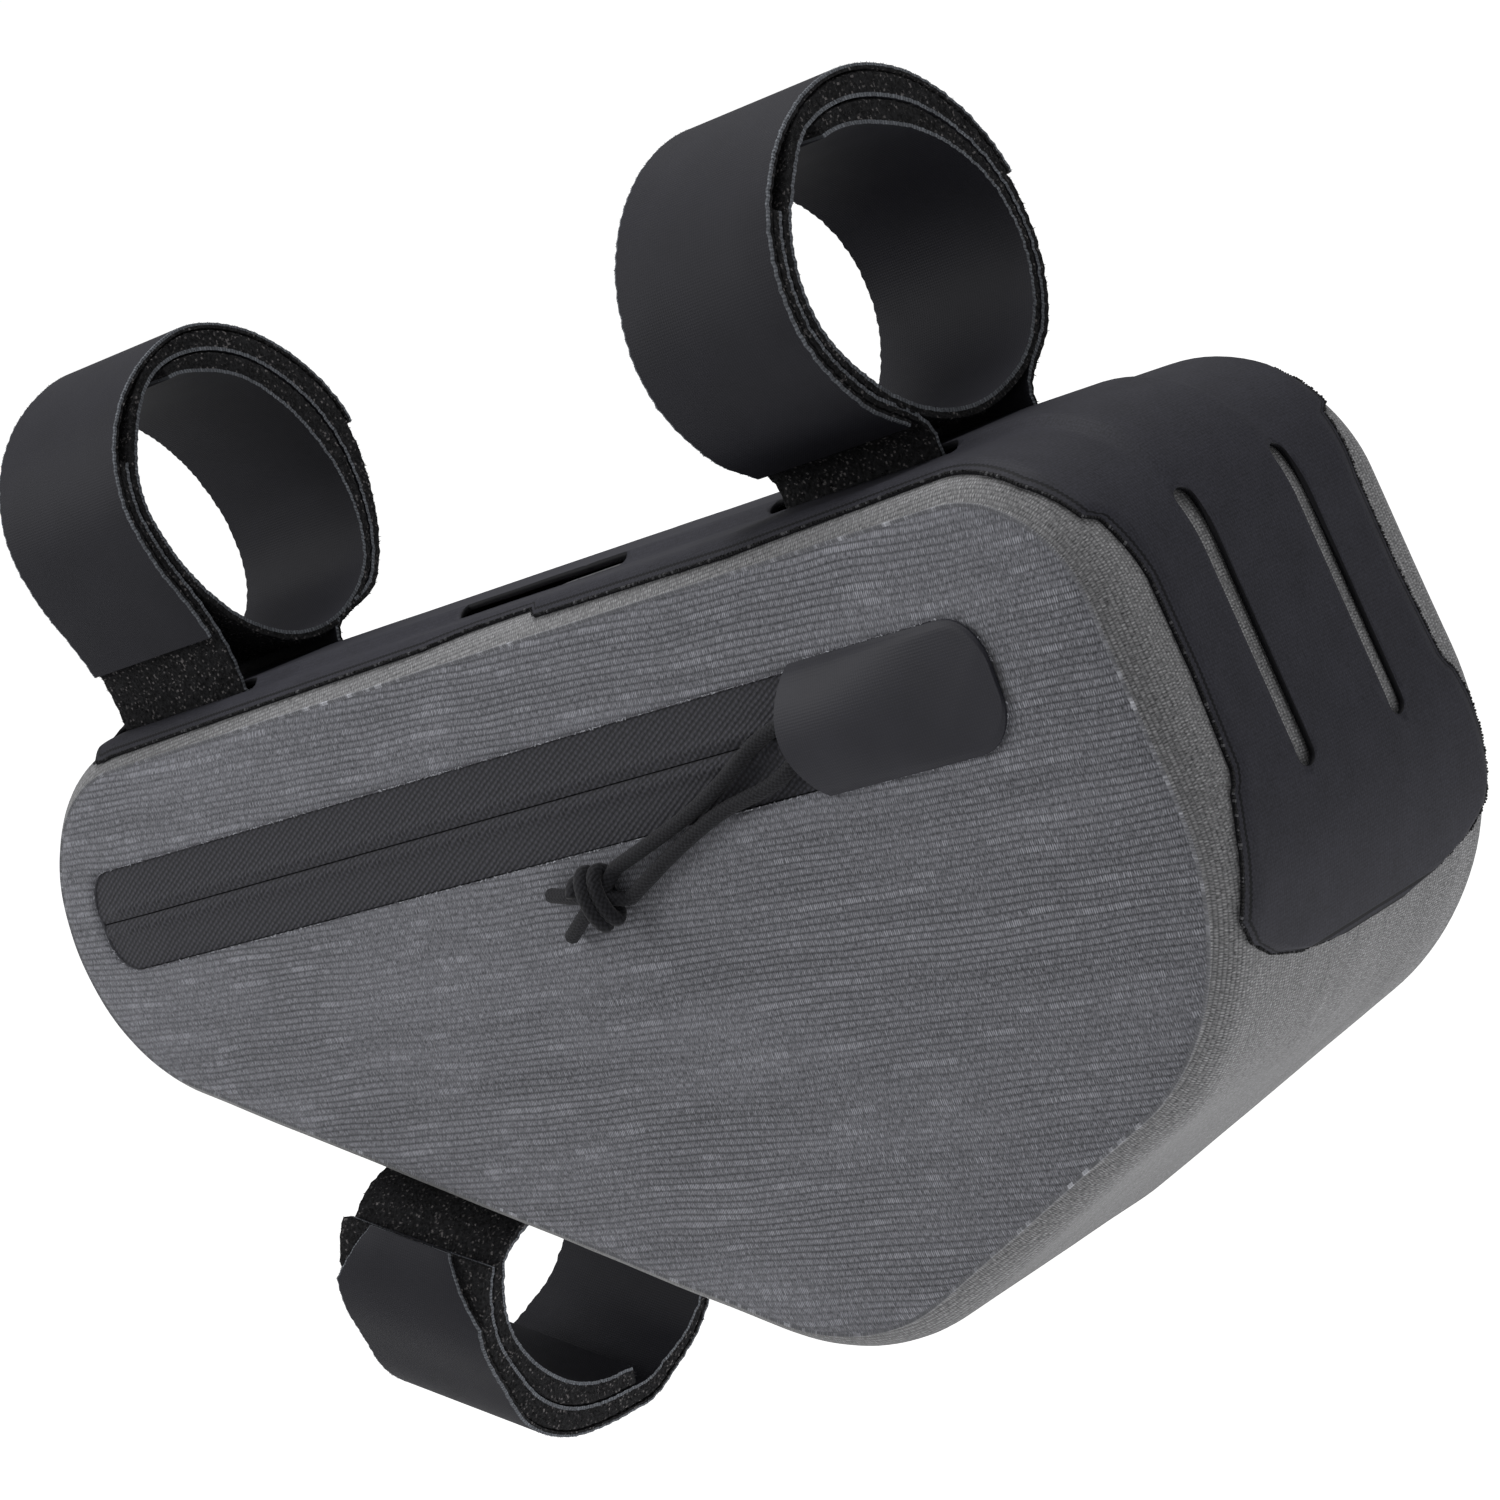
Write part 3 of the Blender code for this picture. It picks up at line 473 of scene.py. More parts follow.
@dataclass(frozen=True)
class CutEdge(Finish):
    """The pale cut side of a strap's backing, where its scrim shows as small teeth."""

    dark: Rgb = (0.022, 0.023, 0.028)
    light: Rgb = (0.20, 0.215, 0.24)
    tooth: float = 0.75

    def pattern(self, graph: Graph) -> tuple[object, object]:
        """Colour and height of the teeth.

        Args:
            graph: The material's tree.

        Returns:
            The colour and the height.
        """
        along, across = self.over(graph, "cloth")
        teeth = graph.math("DIVIDE", along, self.tooth)
        speck = graph.scatter(graph.point(graph.math("FLOOR", teeth), 1.0, 2.0))
        patch = graph.cloud(graph.point(graph.times(along, 0.12), 1.0), 1.0)
        shade = graph.times(graph.triangle(teeth), graph.fit(speck, 0.6, 0.3))
        shade = graph.fit(patch, 0.5, shade, clamp=True)
        return graph.blend(shade, self.dark, self.light), shade


@dataclass(frozen=True)
class Pile(Finish):
    """Black napped loops with a few pale fibres among them."""

    pale: Rgb = (0.16, 0.15, 0.15)

    def pattern(self, graph: Graph) -> tuple[object, object]:
        """Colour and height of the tangled fibres.

        Args:
            graph: The material's tree.

        Returns:
            The colour and the height.
        """
        place = graph.place()
        tangle = graph.cloud(place, 1500.0, 3.0)
        cell = [graph.math("FLOOR", part) for part in graph.parts(place, 2.2 / MM)]
        speck = graph.scatter(graph.point(*cell))
        pale = graph.times(graph.ramp(speck, 0.86, 0.97), graph.ramp(tangle, 0.35, 0.65))
        dark = graph.blend(graph.ramp(tangle, 0.3, 0.7), self.tint(0.5), self.tint(1.6))
        return graph.blend(pale, dark, self.pale), tangle


@dataclass(frozen=True)
class Corner:
    """A corner of the gusset's outline, as shares of the bag's length and height."""

    along: float
    down: float
    radius: float


@dataclass(frozen=True)
class Arc:
    """A rounded corner of the outline."""

    centre: Vector
    radius: float
    start: float
    turn: float

    @property
    def length(self) -> float:
        """Length of the arc."""
        return self.radius * self.turn

    def at(self, share: float) -> tuple[Vector, Vector]:
        """Point and outward normal at a share of the arc."""
        angle = self.start - share * self.turn
        normal = Vector((math.cos(angle), math.sin(angle)))
        return self.centre + normal * self.radius, normal

    def holds(self, point: Vector) -> bool:
        """Whether the arc is the stretch of the outline that is nearest to a point."""
        arm = point - self.centre
        return (self.start - math.atan2(arm.y, arm.x)) % (2.0 * math.pi) <= self.turn


STRAP_SHARE = 0.2957
UNDER_SHARE = 0.459
STRETCHES = ("narrow corner", "top", "wide corner", "rear", "lower corner", "underside",
             "bottom corner", "slope", "nose corner", "nose")


@dataclass(frozen=True)
class BagForm:
    """Driving sizes of the bag's body, and the surface that every other piece lies on."""

    length: float = 324.7 * MM
    height: float = 157.4 * MM
    narrow_width: float = 46.5 * MM
    wide_width: float = 92.4 * MM
    bolster: float = 8.7 * MM
    crown_height: float = 3.0 * MM
    crown_reach: float = 58.0 * MM
    top_z: float = -3.62 * MM
    corners: tuple[Corner, ...] = (
        Corner(-0.4484, 0.0, 0.2414),
        Corner(0.4915, 0.0, 0.1906),
        Corner(0.5186, 0.6645, 0.3685),
        Corner(0.1263, 1.0, 0.3748),
        Corner(-0.4786, 0.4047, 0.2580),
    )

    def corner_point(self, index: int) -> Vector:
        """Sharp corner of the outline in the XZ plane."""
        corner = self.corners[index % len(self.corners)]
        return Vector((corner.along * self.length, self.top_z - corner.down * self.height))

    def edge_direction(self, index: int) -> Vector:
        """Direction of the outline's edge from one corner to the next."""
        return (self.corner_point(index + 1) - self.corner_point(index)).normalized()

    def edge_normal(self, index: int) -> Vector:
        """Outward normal of the outline's edge from one corner to the next."""
        direction = self.edge_direction(index)
        return Vector((-direction.y, direction.x))

    def arc(self, index: int) -> Arc:
        """Rounding of one corner.

        Args:
            index: Number of the corner, counted clockwise as seen from the near side.

        Returns:
            The arc.
        """
        index = index % len(self.corners)
        before, after = self.edge_normal(index - 1), self.edge_normal(index)
        radius = self.corners[index].radius * self.height
        reach = radius / (1.0 + before.dot(after))
        centre = self.corner_point(index) - (before + after) * reach
        return Arc(centre, radius, math.atan2(before.y, before.x), before.angle(after))

    def stretch_at(self, stretch: str, share: float) -> tuple[Vector, Vector]:
        """Point and outward normal on a named stretch of the outline.

        Args:
            stretch: Name of the corner or the straight.
            share: How far along it, from 0 to 1.

        Returns:
            The point and the normal in the XZ plane.
        """
        index, straight = divmod(STRETCHES.index(stretch), 2)
        if not straight:
            return self.arc(index).at(share)
        start, normal = self.arc(index).at(1.0)
        end, _ = self.arc(index + 1).at(0.0)
        return start.lerp(end, share), normal

    def stretch_length(self, stretch: str) -> float:
        """Length of a named stretch of the outline."""
        index, straight = divmod(STRETCHES.index(stretch), 2)
        if not straight:
            return self.arc(index).length
        return (self.stretch_at(stretch, 1.0)[0] - self.stretch_at(stretch, 0.0)[0]).length

    def stations(self, arc_steps: int, step: float) -> list[tuple[Vector, Vector, float]]:
        """Places all round the outline.

        Args:
            arc_steps: Steps on each corner.
            step: Length of a step on the straights.

        Returns:
            Point, outward normal and distance along the outline of each place.
        """
        places = []
        run = 0.0
        for number, stretch in enumerate(STRETCHES):
            length = self.stretch_length(stretch)
            count = arc_steps if number % 2 == 0 else max(1, round(length / step))
            for k in range(count):
                point, normal = self.stretch_at(stretch, k / count)
                places.append((point, normal, run + length * k / count))
            run += length
        return places

    def half_width(self, x: float) -> float:
        """Half of the bag's width between its side panels, before their crown."""
        front = min(corner.along for corner in self.corners) * self.length
        rear = max(corner.along for corner in self.corners) * self.length
        share = (x - front) / (rear - front)
        return 0.5 * (self.narrow_width + (self.wide_width - self.narrow_width) * share)

    def inset_at(self, x: float, z: float) -> float:
        """Distance from a point to the rounded outline."""
        point = Vector((x, z))
        for index in range(len(self.corners)):
            arc = self.arc(index)
            if arc.holds(point):
                return arc.radius - (point - arc.centre).length
        return min(
            self.edge_normal(k).dot(self.corner_point(k) - point) for k in range(len(self.corners))
        )

    def side_y(self, x: float, z: float, height: float = 0.0) -> float:
        """Y of the near side panel's face, raised outwards by a height."""
        reach = min(max((self.inset_at(x, z) - self.bolster) / self.crown_reach, 0.0), 1.0)
        crown = self.crown_height * (1.0 - (1.0 - reach) ** 2)
        return -(self.half_width(x) + crown + height)


FORM = BagForm()
UvRule = Callable[[int, int, int], tuple[float, float]]


def add_object(name: str, mesh: Mesh, *materials: Material) -> Object:
    """Put a mesh into the scene.

    Args:
        name: Name of the piece.
        mesh: Its mesh.
        materials: Its finishes, in the order of the mesh's material numbers.

    Returns:
        The new object.
    """
    item = bpy.data.objects.new(name, mesh)
    bpy.context.scene.collection.objects.link(item)
    for material in materials:
        mesh.materials.append(material)
    return item


@dataclass
class Loft:
    """A skin over rings of equal count, with coordinates and a finish number for each band."""

    rings: list[list[Vector]]
    layers: dict[str, UvRule]
    finish_of: Callable[[int, int], int] = lambda band, k: 0
    closed: bool = True
    capped: bool = True
    smooth_angle: float = 40.0

    def mesh(self, name: str) -> Mesh:
        """Make the mesh.

        Args:
            name: Name of the mesh.

        Returns:
            The mesh with its coordinate layers, its faces pointing out.
        """
        shape = bmesh.new()
        layers = {layer: shape.loops.layers.uv.new(layer) for layer in self.layers}
        loops = [[shape.verts.new(point) for point in ring] for ring in self.rings]
        count = len(self.rings[0])
        for band in range(len(loops) - 1):
            for k in range(count if self.closed else count - 1):
                n = (k + 1) % count
                corners = ((band, k), (band, k + 1), (band + 1, k + 1), (band + 1, k))
                face = shape.faces.new((loops[band][k], loops[band][n], loops[band + 1][n],
                                        loops[band + 1][k]))
                face.material_index = self.finish_of(band, k)
                for loop, (ring, column) in zip(face.loops, corners):
                    for layer, rule in self.layers.items():
                        loop[layers[layer]].uv = rule(band, ring, column)
        if self.capped and self.closed:
            self.cap(shape, loops, layers)
        bmesh.ops.recalc_face_normals(shape, faces=shape.faces[:])
        made = bpy.data.meshes.new(name)
        shape.to_mesh(made)
        shape.free()
        made.shade_smooth()
        made.set_sharp_from_angle(angle=math.radians(self.smooth_angle))
        return made

    def cap(self, shape: BMesh, loops: list[list[bmesh.types.BMVert]],
            layers: dict[str, bmesh.types.BMLayerItem]) -> None:
        """Close both ends with a fan.

        Args:
            shape: The mesh in work.
            loops: Its rings of vertices.
            layers: Its coordinate layers.
        """
        count = len(self.rings[0])
        for ring in (0, len(loops) - 1):
            band = min(ring, len(loops) - 2)
            middle = shape.verts.new(sum((v.co for v in loops[ring]), Vector()) / count)
            centres = {
                layer: sum((Vector(rule(band, ring, k)) for k in range(count)), Vector((0.0, 0.0))) / count
                for layer, rule in self.layers.items()
            }
            for k in range(count):
                face = shape.faces.new((loops[ring][k], loops[ring][(k + 1) % count], middle))
                face.material_index = self.finish_of(band, k)
                for layer, rule in self.layers.items():
                    face.loops[0][layers[layer]].uv = rule(band, ring, k)
                    face.loops[1][layers[layer]].uv = rule(band, ring, k + 1)
                    face.loops[2][layers[layer]].uv = centres[layer]


def cut(target: Object, cutter: Object) -> None:
    """Cut one object with another when it is next evaluated."""
    step = target.modifiers.new(cutter.name, "BOOLEAN")
    step.operation = "DIFFERENCE"
    step.solver = "EXACT"
    step.object = cutter


def plain(target: Object, *leftovers: Object) -> Object:
    """Turn an object with modifiers into a plain mesh, in place.

    Args:
        target: The object.
        leftovers: Cutters and guides to remove afterwards.

    Returns:
        The same object without modifiers.
    """
    bpy.context.view_layer.update()
    graph = bpy.context.evaluated_depsgraph_get()
    made = bpy.data.meshes.new_from_object(target.evaluated_get(graph), depsgraph=graph)
    made.name = target.name
    target.modifiers.clear()
    target.data = made
    for item in leftovers:
        bpy.data.objects.remove(item)
    return target


def finish_piece(item: Object, slot: Slot, *nodes: str) -> Object:
    """Hand a finished piece over: its body and the solids that it stands for.

    Args:
        item: The piece.
        slot: The record's material slot; not used.
        nodes: Names of the solids that it replaces.

    Returns:
        The piece.
    """
    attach(item, BODY)
    if nodes:
        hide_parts(*nodes)
    LOG.info("%s: %d faces", item.name, len(item.data.polygons) if item.type == "MESH" else 0)
    return item


def smooth_step(value: float) -> float:
    """Zero below 0, one above 1, and an even ramp between."""
    value = min(max(value, 0.0), 1.0)
    return value * value * (3.0 - 2.0 * value)


@dataclass
class BagBody:
    """The hollow cloth body: two crowned side panels, their welded seams and the gusset."""

    wall: float = 1.6 * MM
    seam_angle: float = 62.6
    seam_height: float = 0.42 * MM
    seam_spread: float = 2.0
    rib_tilt: float = math.radians(-3.6)
    pucker: float = 0.22 * MM
    pucker_scale: float = 34.0
    arc_steps: int = 26
    straight_step: float = 4.5 * MM
    side_rings: int = 22
    gusset_rings: int = 5
    window_length: float = 266.0 * MM
    window_height: float = 22.0 * MM
    window_depth: float = 24.0 * MM
    window_corner: float = 8.0 * MM
    bolster_angles: tuple[float, ...] = (90.0, 84.0, 78.0, 72.0, 68.0, 65.6, 64.4, 63.5, 62.6, 61.7,
                                         60.8, 59.6, 57.0, 52.0, 45.0, 38.0, 30.0, 22.0, 15.0, 8.0, 0.0)

    @property
    def zip_z(self) -> float:
        """Height of the zip's centre line."""
        return FORM.top_z - self.window_depth - self.window_height / 2

    def finishes(self) -> list[Material]:
        """Side cloth, gusset cloth, seam and the coated inside."""
        side = Melange("side melange", (0.12, 0.12, 0.13), roughness=0.82, sheen=0.15, relief=0.16 * MM)
        gusset = Melange("gusset melange", (0.12, 0.12, 0.13), roughness=0.85, sheen=0.12,
                         relief=0.10 * MM, dark=(0.030, 0.030, 0.032), light=(0.42, 0.42, 0.43),
                         rib_pitch=0.85, tick_pitch=0.6, rib_depth_and_shade=0.42, slub_start=0.68,
                         wander=0.4, base=0.30)
        seam = Seam("welded seam", (0.3, 0.3, 0.32), roughness=0.6, relief=0.2 * MM)
        inside = Finish("coated inside", (0.07, 0.07, 0.075), roughness=0.55)
        return [finish.build() for finish in (side, gusset, seam, inside)]

    def half_rings(self, stations: Sequence[tuple[Vector, Vector, float]],
                   wall: float) -> list[tuple[float, list[Vector]]]:
        """Rings of the near half, from the middle of the side panel to the gusset.

        Args:
            stations: Places round the outline.
            wall: How far the form is drawn in.

        Returns:
            For each ring its angle on the bolster, over 90 on the side panel, and its points.
        """
        base = [point - normal * FORM.bolster for point, normal, _ in stations]
        middle = sum(base, Vector((0.0, 0.0))) / len(base)
        rings = []
        for k in range(1, self.side_rings):
            share = (k / self.side_rings) ** 0.8
            ring = [middle.lerp(point, share) for point in base]
            points = [Vector((p.x, FORM.side_y(p.x, p.y, -wall), p.y)) for p in ring]
            rings.append((91.0, points))
        radius = FORM.bolster - wall
        for angle in self.bolster_angles:
            turn = math.radians(angle)
            bump = math.exp(-((angle - self.seam_angle) / self.seam_spread) ** 2) if wall == 0.0 else 0.0
            lever = radius + self.seam_height * bump
            points = []
            for point, normal, _ in stations:
                place = point - normal * (FORM.bolster - lever * math.cos(turn))
                width = FORM.half_width(place.x) - FORM.bolster
                points.append(Vector((place.x, -(width + lever * math.sin(turn)), place.y)))
            rings.append((angle, points))
        return rings

    def form(self, name: str, wall: float) -> Mesh:
        """The bag's closed form, drawn in by a wall.

        Args:
            name: Name of the mesh.
            wall: How far it is drawn in.

        Returns:
            The mesh, with the cloth's coordinates.
        """
        stations = FORM.stations(self.arc_steps, self.straight_step)
        runs = [run for _, _, run in stations] + [sum(FORM.stretch_length(s) for s in STRETCHES)]
        half = self.half_rings(stations, wall)
        angles = [angle for angle, _ in half]
        rings = [points for _, points in half]
        edge, far_edge = rings[-1], [Vector((p.x, -p.y, p.z)) for p in rings[-1]]
        across = [[a.lerp(b, k / self.gusset_rings) for a, b in zip(edge, far_edge)]
                  for k in range(1, self.gusset_rings)]
        far = [[Vector((p.x, -p.y, p.z)) for p in ring] for ring in reversed(rings)]
        every = rings + across + far
        marks = angles + [0.0] * len(across) + angles[::-1]
        count = len(stations)

        def finish_of(band: int, k: int) -> int:
            """Number of a face's finish: side, gusset, seam or inside."""
            low, high = min(marks[band], marks[band + 1]), max(marks[band], marks[band + 1])
            if wall > 0.0:
                return 3
            if low >= self.seam_angle + self.seam_spread:
                return 0
            return 1 if high <= self.seam_angle - self.seam_spread + 0.9 else 2

        def cloth(band: int, ring: int, k: int) -> tuple[float, float]:
            """Distances along and across the cloth."""
            place = every[ring][k % count]
            if finish_of(band, k) == 0:
                turn = self.rib_tilt
                return (place.x * math.cos(turn) + place.z * math.sin(turn),
                        place.z * math.cos(turn) - place.x * math.sin(turn))
            tilt = math.radians(marks[ring])
            width = FORM.half_width(place.x) - FORM.bolster
            side = math.copysign(1.0, place.y)
            flat = min(abs(place.y), width)
            return (runs[k], side * (flat + FORM.bolster * tilt))

        if wall == 0.0:
            self.soften(every)
        return Loft(every, {"cloth": cloth}, finish_of, smooth_angle=60.0).mesh(name)

    def soften(self, rings: list[list[Vector]]) -> None:
        """Give the cloth a slight unevenness.

        Args:
            rings: The rings, whose points are moved.
        """
        centre = Vector((0.02, 0.0, -0.07))
        for ring in rings:
            for point in ring:
                swell = noise.noise(point * self.pucker_scale) + 0.5 * noise.noise(point * 90.0)
                out = (point - centre).normalized()
                point += out * (self.pucker * swell)

    def window(self) -> list[Vector]:
        """Outline of the zip's window as X, 0 and Z, anticlockwise from the rear end."""
        points = []
        steps = 10
        corner = self.window_corner
        for quarter in range(4):
            across = 1 if quarter in (0, 3) else -1
            up = 1 if quarter < 2 else -1
            centre_x = across * (self.window_length / 2 - self.window_corner)
            centre_z = self.zip_z + up * (self.window_height / 2 - self.window_corner)
            for k in range(steps + 1):
                angle = math.radians(90.0 * (quarter + k / steps))
                points.append(Vector((centre_x + corner * math.cos(angle), 0.0,
                                      centre_z + corner * math.sin(angle))))
        return points

    def build(self) -> Object:
        """Make the body and cut it hollow, with the zip's window.

        Returns:
            The finished piece.
        """
        finishes = self.finishes()
        shell = add_object("bag_cloth", self.form("bag_cloth", 0.0), *finishes)
        inside = add_object("inside_cutter", self.form("inside_cutter", self.wall), *finishes)
        outer = FORM.side_y(self.window_length / 2, self.zip_z, self.window_height)
        inner = FORM.side_y(-self.window_length / 2, self.zip_z, -self.window_height / 2)
        outline = self.window()
        rings = [[Vector((p.x, y, p.z)) for p in outline] for y in (outer, inner)]
        opening = add_object("window_cutter", Loft(rings, {}).mesh("window_cutter"))
        cut(shell, inside)
        cut(shell, opening)
        plain(shell, inside, opening)
        return finish_piece(shell, Slot.CLOTH, "bag_shell")


@dataclass(frozen=True)
class PanelRow:
    """Edge of the black panel at one place: inset in bolster radii, and the sleeve's height."""

    stretch: str
    share: float
    inset: float
    raise_share: float


@dataclass
class TopPanel:
    """The black laminate over the top and the rear face, with slots for the straps."""

    seat: float = 0.42 * MM
    thickness: float = 1.2 * MM
    edge_thickness: float = 0.75 * MM
    edge_reach: float = 4.0 * MM
    edge_trim: float = 0.5 * MM
    sleeve_lift: float = 2.0 * MM
    sleeve_half_width: float = 13.4 * MM
    slot_spread: float = 15.0 * MM
    slot_width: float = 3.2 * MM
    slot_length: float = 46.0 * MM
    rear_slot_length: float = 52.4 * MM
    rear_slot_width: float = 4.8 * MM
    rear_slot_share: float = 0.42
    strap_station: float = STRAP_SHARE * FORM.length
    spare_station: float = 0.0370 * FORM.length
    row_step: float = 2.4 * MM
    columns: int = 30
    rows: tuple[PanelRow, ...] = (
        PanelRow("narrow corner", 0.88, 0.30, 0.4),
        PanelRow("narrow corner", 0.94, 0.25, 1.0),
        PanelRow("narrow corner", 1.00, 0.28, 1.0),
        PanelRow("top", 0.42, 0.42, 1.0),
        PanelRow("top", 0.48, 0.58, 1.0),
        PanelRow("top", 0.55, 0.62, 1.0),
        PanelRow("top", 0.56, 0.36, 1.0),
        PanelRow("top", 0.78, 0.31, 1.0),
        PanelRow("top", 0.92, 0.45, 1.0),
        PanelRow("wide corner", 0.00, 0.60, 1.0),
        PanelRow("wide corner", 0.40, 0.50, 0.8),
        PanelRow("wide corner", 0.68, 0.72, 0.4),
        PanelRow("wide corner", 0.72, 1.05, 0.3),
        PanelRow("wide corner", 1.00, 1.37, 0.1),
        PanelRow("rear", 0.50, 1.40, 0.1),
        PanelRow("lower corner", 0.00, 1.28, 0.1),
        PanelRow("lower corner", 0.03, 1.16, 0.1),
        PanelRow("lower corner", 0.05, 1.00, 0.1),
        PanelRow("lower corner", 0.13, 0.80, 0.10),
        PanelRow("lower corner", 0.34, 0.50, 0.0),
        PanelRow("lower corner", 0.40, 0.70, 0.0),
        PanelRow("lower corner", 0.45, 1.30, 0.0),
        PanelRow("lower corner", 0.49, 2.40, 0.0),
        PanelRow("lower corner", 0.51, 3.60, 0.0),
    )

    def run_of(self, row: PanelRow) -> float:
        """Distance of a row along the outline from the narrow corner's start."""
        index = STRETCHES.index(row.stretch)
        before = sum(FORM.stretch_length(stretch) for stretch in STRETCHES[:index])
        return before + row.share * FORM.stretch_length(row.stretch)

    def sections(self) -> list[PanelRow]:
        """Rows of the table with even steps between them."""
        made = []
        for row, after in zip(self.rows, self.rows[1:]):
            steps = max(1, math.ceil((self.run_of(after) - self.run_of(row)) / self.row_step))
            for k in range(steps):
                part = k / steps
                share = row.share + (after.share - row.share) * part
                stretch = row.stretch
                if row.stretch != after.stretch:
                    left = (1.0 - row.share) * FORM.stretch_length(row.stretch)
                    right = after.share * FORM.stretch_length(after.stretch)
                    run = part * (left + right)
                    if run <= left:
                        share = row.share + run / FORM.stretch_length(row.stretch)
                    else:
                        stretch = after.stretch
                        share = (run - left) / FORM.stretch_length(after.stretch)
                made.append(PanelRow(stretch, share, row.inset + (after.inset - row.inset) * part,
                                     row.raise_share + (after.raise_share - row.raise_share) * part))
        made.append(self.rows[-1])
        return made

    def reach(self, x: float, inset: float) -> float:
        """Distance along the cloth from the middle line to the panel's edge."""
        width = FORM.half_width(x) - FORM.bolster
        if inset >= 1.0:
            return width - (inset - 1.0) * FORM.bolster - self.edge_trim
        return width + FORM.bolster * math.asin(1.0 - inset) - self.edge_trim

    def skin(self, point: Vector, normal: Vector, across: float, height: float) -> Vector:
        """Point over the gusset.

        Args:
            point: Place on the outline in the XZ plane.
            normal: Outward normal there.
            across: Signed distance along the cloth from the middle line.
            height: Height over the cloth.

        Returns:
            The point.
        """
        width = FORM.half_width(point.x) - FORM.bolster
        tilt = max(abs(across) - width, 0.0) / FORM.bolster
        lever = FORM.bolster + height
        place = point + normal * (lever * math.cos(tilt) - FORM.bolster)
        y = min(abs(across), width) + lever * math.sin(tilt)
        return Vector((place.x, math.copysign(y, across), place.y))

    def ring(self, row: PanelRow) -> tuple[list[Vector], list[float]]:
        """Closed section at one row, with the distance across of each point.

        Args:
            row: The row.

        Returns:
            The points, outer face then inner face back, and their places across.
        """
        point, normal = FORM.stretch_at(row.stretch, row.share)
        reach = self.reach(point.x, row.inset)
        lift = self.sleeve_lift * row.raise_share
        half = min(self.sleeve_half_width, 0.6 * reach)
        foot = min(2.0 * self.slot_spread - self.sleeve_half_width, 0.75 * reach)
        stops = [reach * math.sin(0.5 * math.pi * k / self.columns) for k in range(1, self.columns + 1)]
        stops = [-stop for stop in reversed(stops)] + [0.0] + stops
        outer, inner = [], []
        for stop in stops:
            rise = lift * (1.0 - smooth_step((abs(stop) - half) / max(foot - half, MM * 0.1)))
            near = smooth_step((reach - abs(stop)) / self.edge_reach)
            top = self.edge_thickness + (self.seat + self.thickness - self.edge_thickness) * near
            low = 0.06 * MM + (self.seat - 0.06 * MM) * near
            outer.append(self.skin(point, normal, stop, top + rise))
            inner.append(self.skin(point, normal, stop, low + rise))
        return outer + inner[::-1], stops + stops[::-1]

    def slot_cutter(self, name: str, middle: Vector, along: Vector, normal: Vector,
                    length: float, width: float, side: int) -> Object:
        """A long narrow slot with round ends.

        Args:
            name: Name of the cutter.
            middle: Its middle on the outline.
            along: Its direction in the XZ plane.
            normal: Outward normal there.
            length: Its length.
            width: Its width.
            side: Minus one on the near side, one on the far side.

        Returns:
            The cutter.
        """
        radius = width / 2
        rings = []
        for height in (-FORM.bolster, FORM.bolster):
            ring = []
            for end in (1, -1):
                for k in range(9):
                    angle = math.radians(-90.0 + 22.5 * k)
                    run = end * (length / 2 - radius + radius * math.cos(angle))
                    place = middle + along * run + normal * height
                    across = side * self.slot_spread + end * radius * math.sin(angle)
                    ring.append(Vector((place.x, across, place.y)))
            rings.append(ring)
        return add_object(name, Loft(rings, {}).mesh(name))

    def cutters(self) -> list[Object]:
        """One cutter for each slot."""
        along, up = Vector((1.0, 0.0)), Vector((0.0, 1.0))
        rear_middle, rear_normal = FORM.stretch_at("rear", self.rear_slot_share)
        places = [(Vector((x, FORM.top_z)), along, up, self.slot_length, self.slot_width)
                  for x in (-self.strap_station, self.spare_station, self.strap_station)]
        places.append((rear_middle, FORM.edge_direction(1), rear_normal, self.rear_slot_length,
                       self.rear_slot_width))
        return [self.slot_cutter(f"slot_cutter_{number}_{side}", *place, side)
                for number, place in enumerate(places) for side in (-1, 1)]

    def build(self) -> Object:
        """Make the panel with its slots.

        Returns:
            The finished piece.
        """
        rows = self.sections()
        made = [self.ring(row) for row in rows]
        runs = [self.run_of(row) for row in rows]
        reaches = [max(stops) for _, stops in made]
        count = len(made[0][0])

        def cloth(band: int, ring: int, k: int) -> tuple[float, float]:
            """Distances along the panel and across it."""
            return (runs[ring], made[ring][1][k % count])

        def weld(band: int, ring: int, k: int) -> tuple[float, float]:
            """Distances along the panel and in from its edge."""
            ends = min(runs[ring] - runs[0], runs[-1] - runs[ring])
            return (runs[ring], min(reaches[ring] - abs(made[ring][1][k % count]), ends))

        laminate = Laminate("black laminate", (0.023, 0.023, 0.030), roughness=0.68, specular=0.22,
                            relief=0.07 * MM).build()
        loft = Loft([points for points, _ in made], {"cloth": cloth, "weld": weld}, smooth_angle=38.0)
        panel = add_object("black_panel", loft.mesh("black_panel"), laminate)
        cutters = self.cutters()
        for cutter in cutters:
            cut(panel, cutter)
        plain(panel, *cutters)
        last = len(made[0][0]) // 2 - 1
        edge = [points[0] for points, _ in made] + [points[last] for points, _ in reversed(made)]
        # near-black blocks along the panel's edge: its serrated edge, dark as painted shadow of the gap under
        # it
        teeth = Thread("painted gap shadow teeth", (0.007, 0.007, 0.008), roughness=0.8, pale=(0.075, 0.075, 0.08),
                       pale_share=0.2)
        fringe = Fringe("panel_gap_shadow_teeth", teeth, 0.62 * MM, (0.42 * MM, 0.5 * MM, 0.42 * MM), 0.5)
        merge(panel, fringe.along([edge + edge[:1]]))
        return finish_piece(panel, Slot.LAMINATE, "reinforcement_panel")


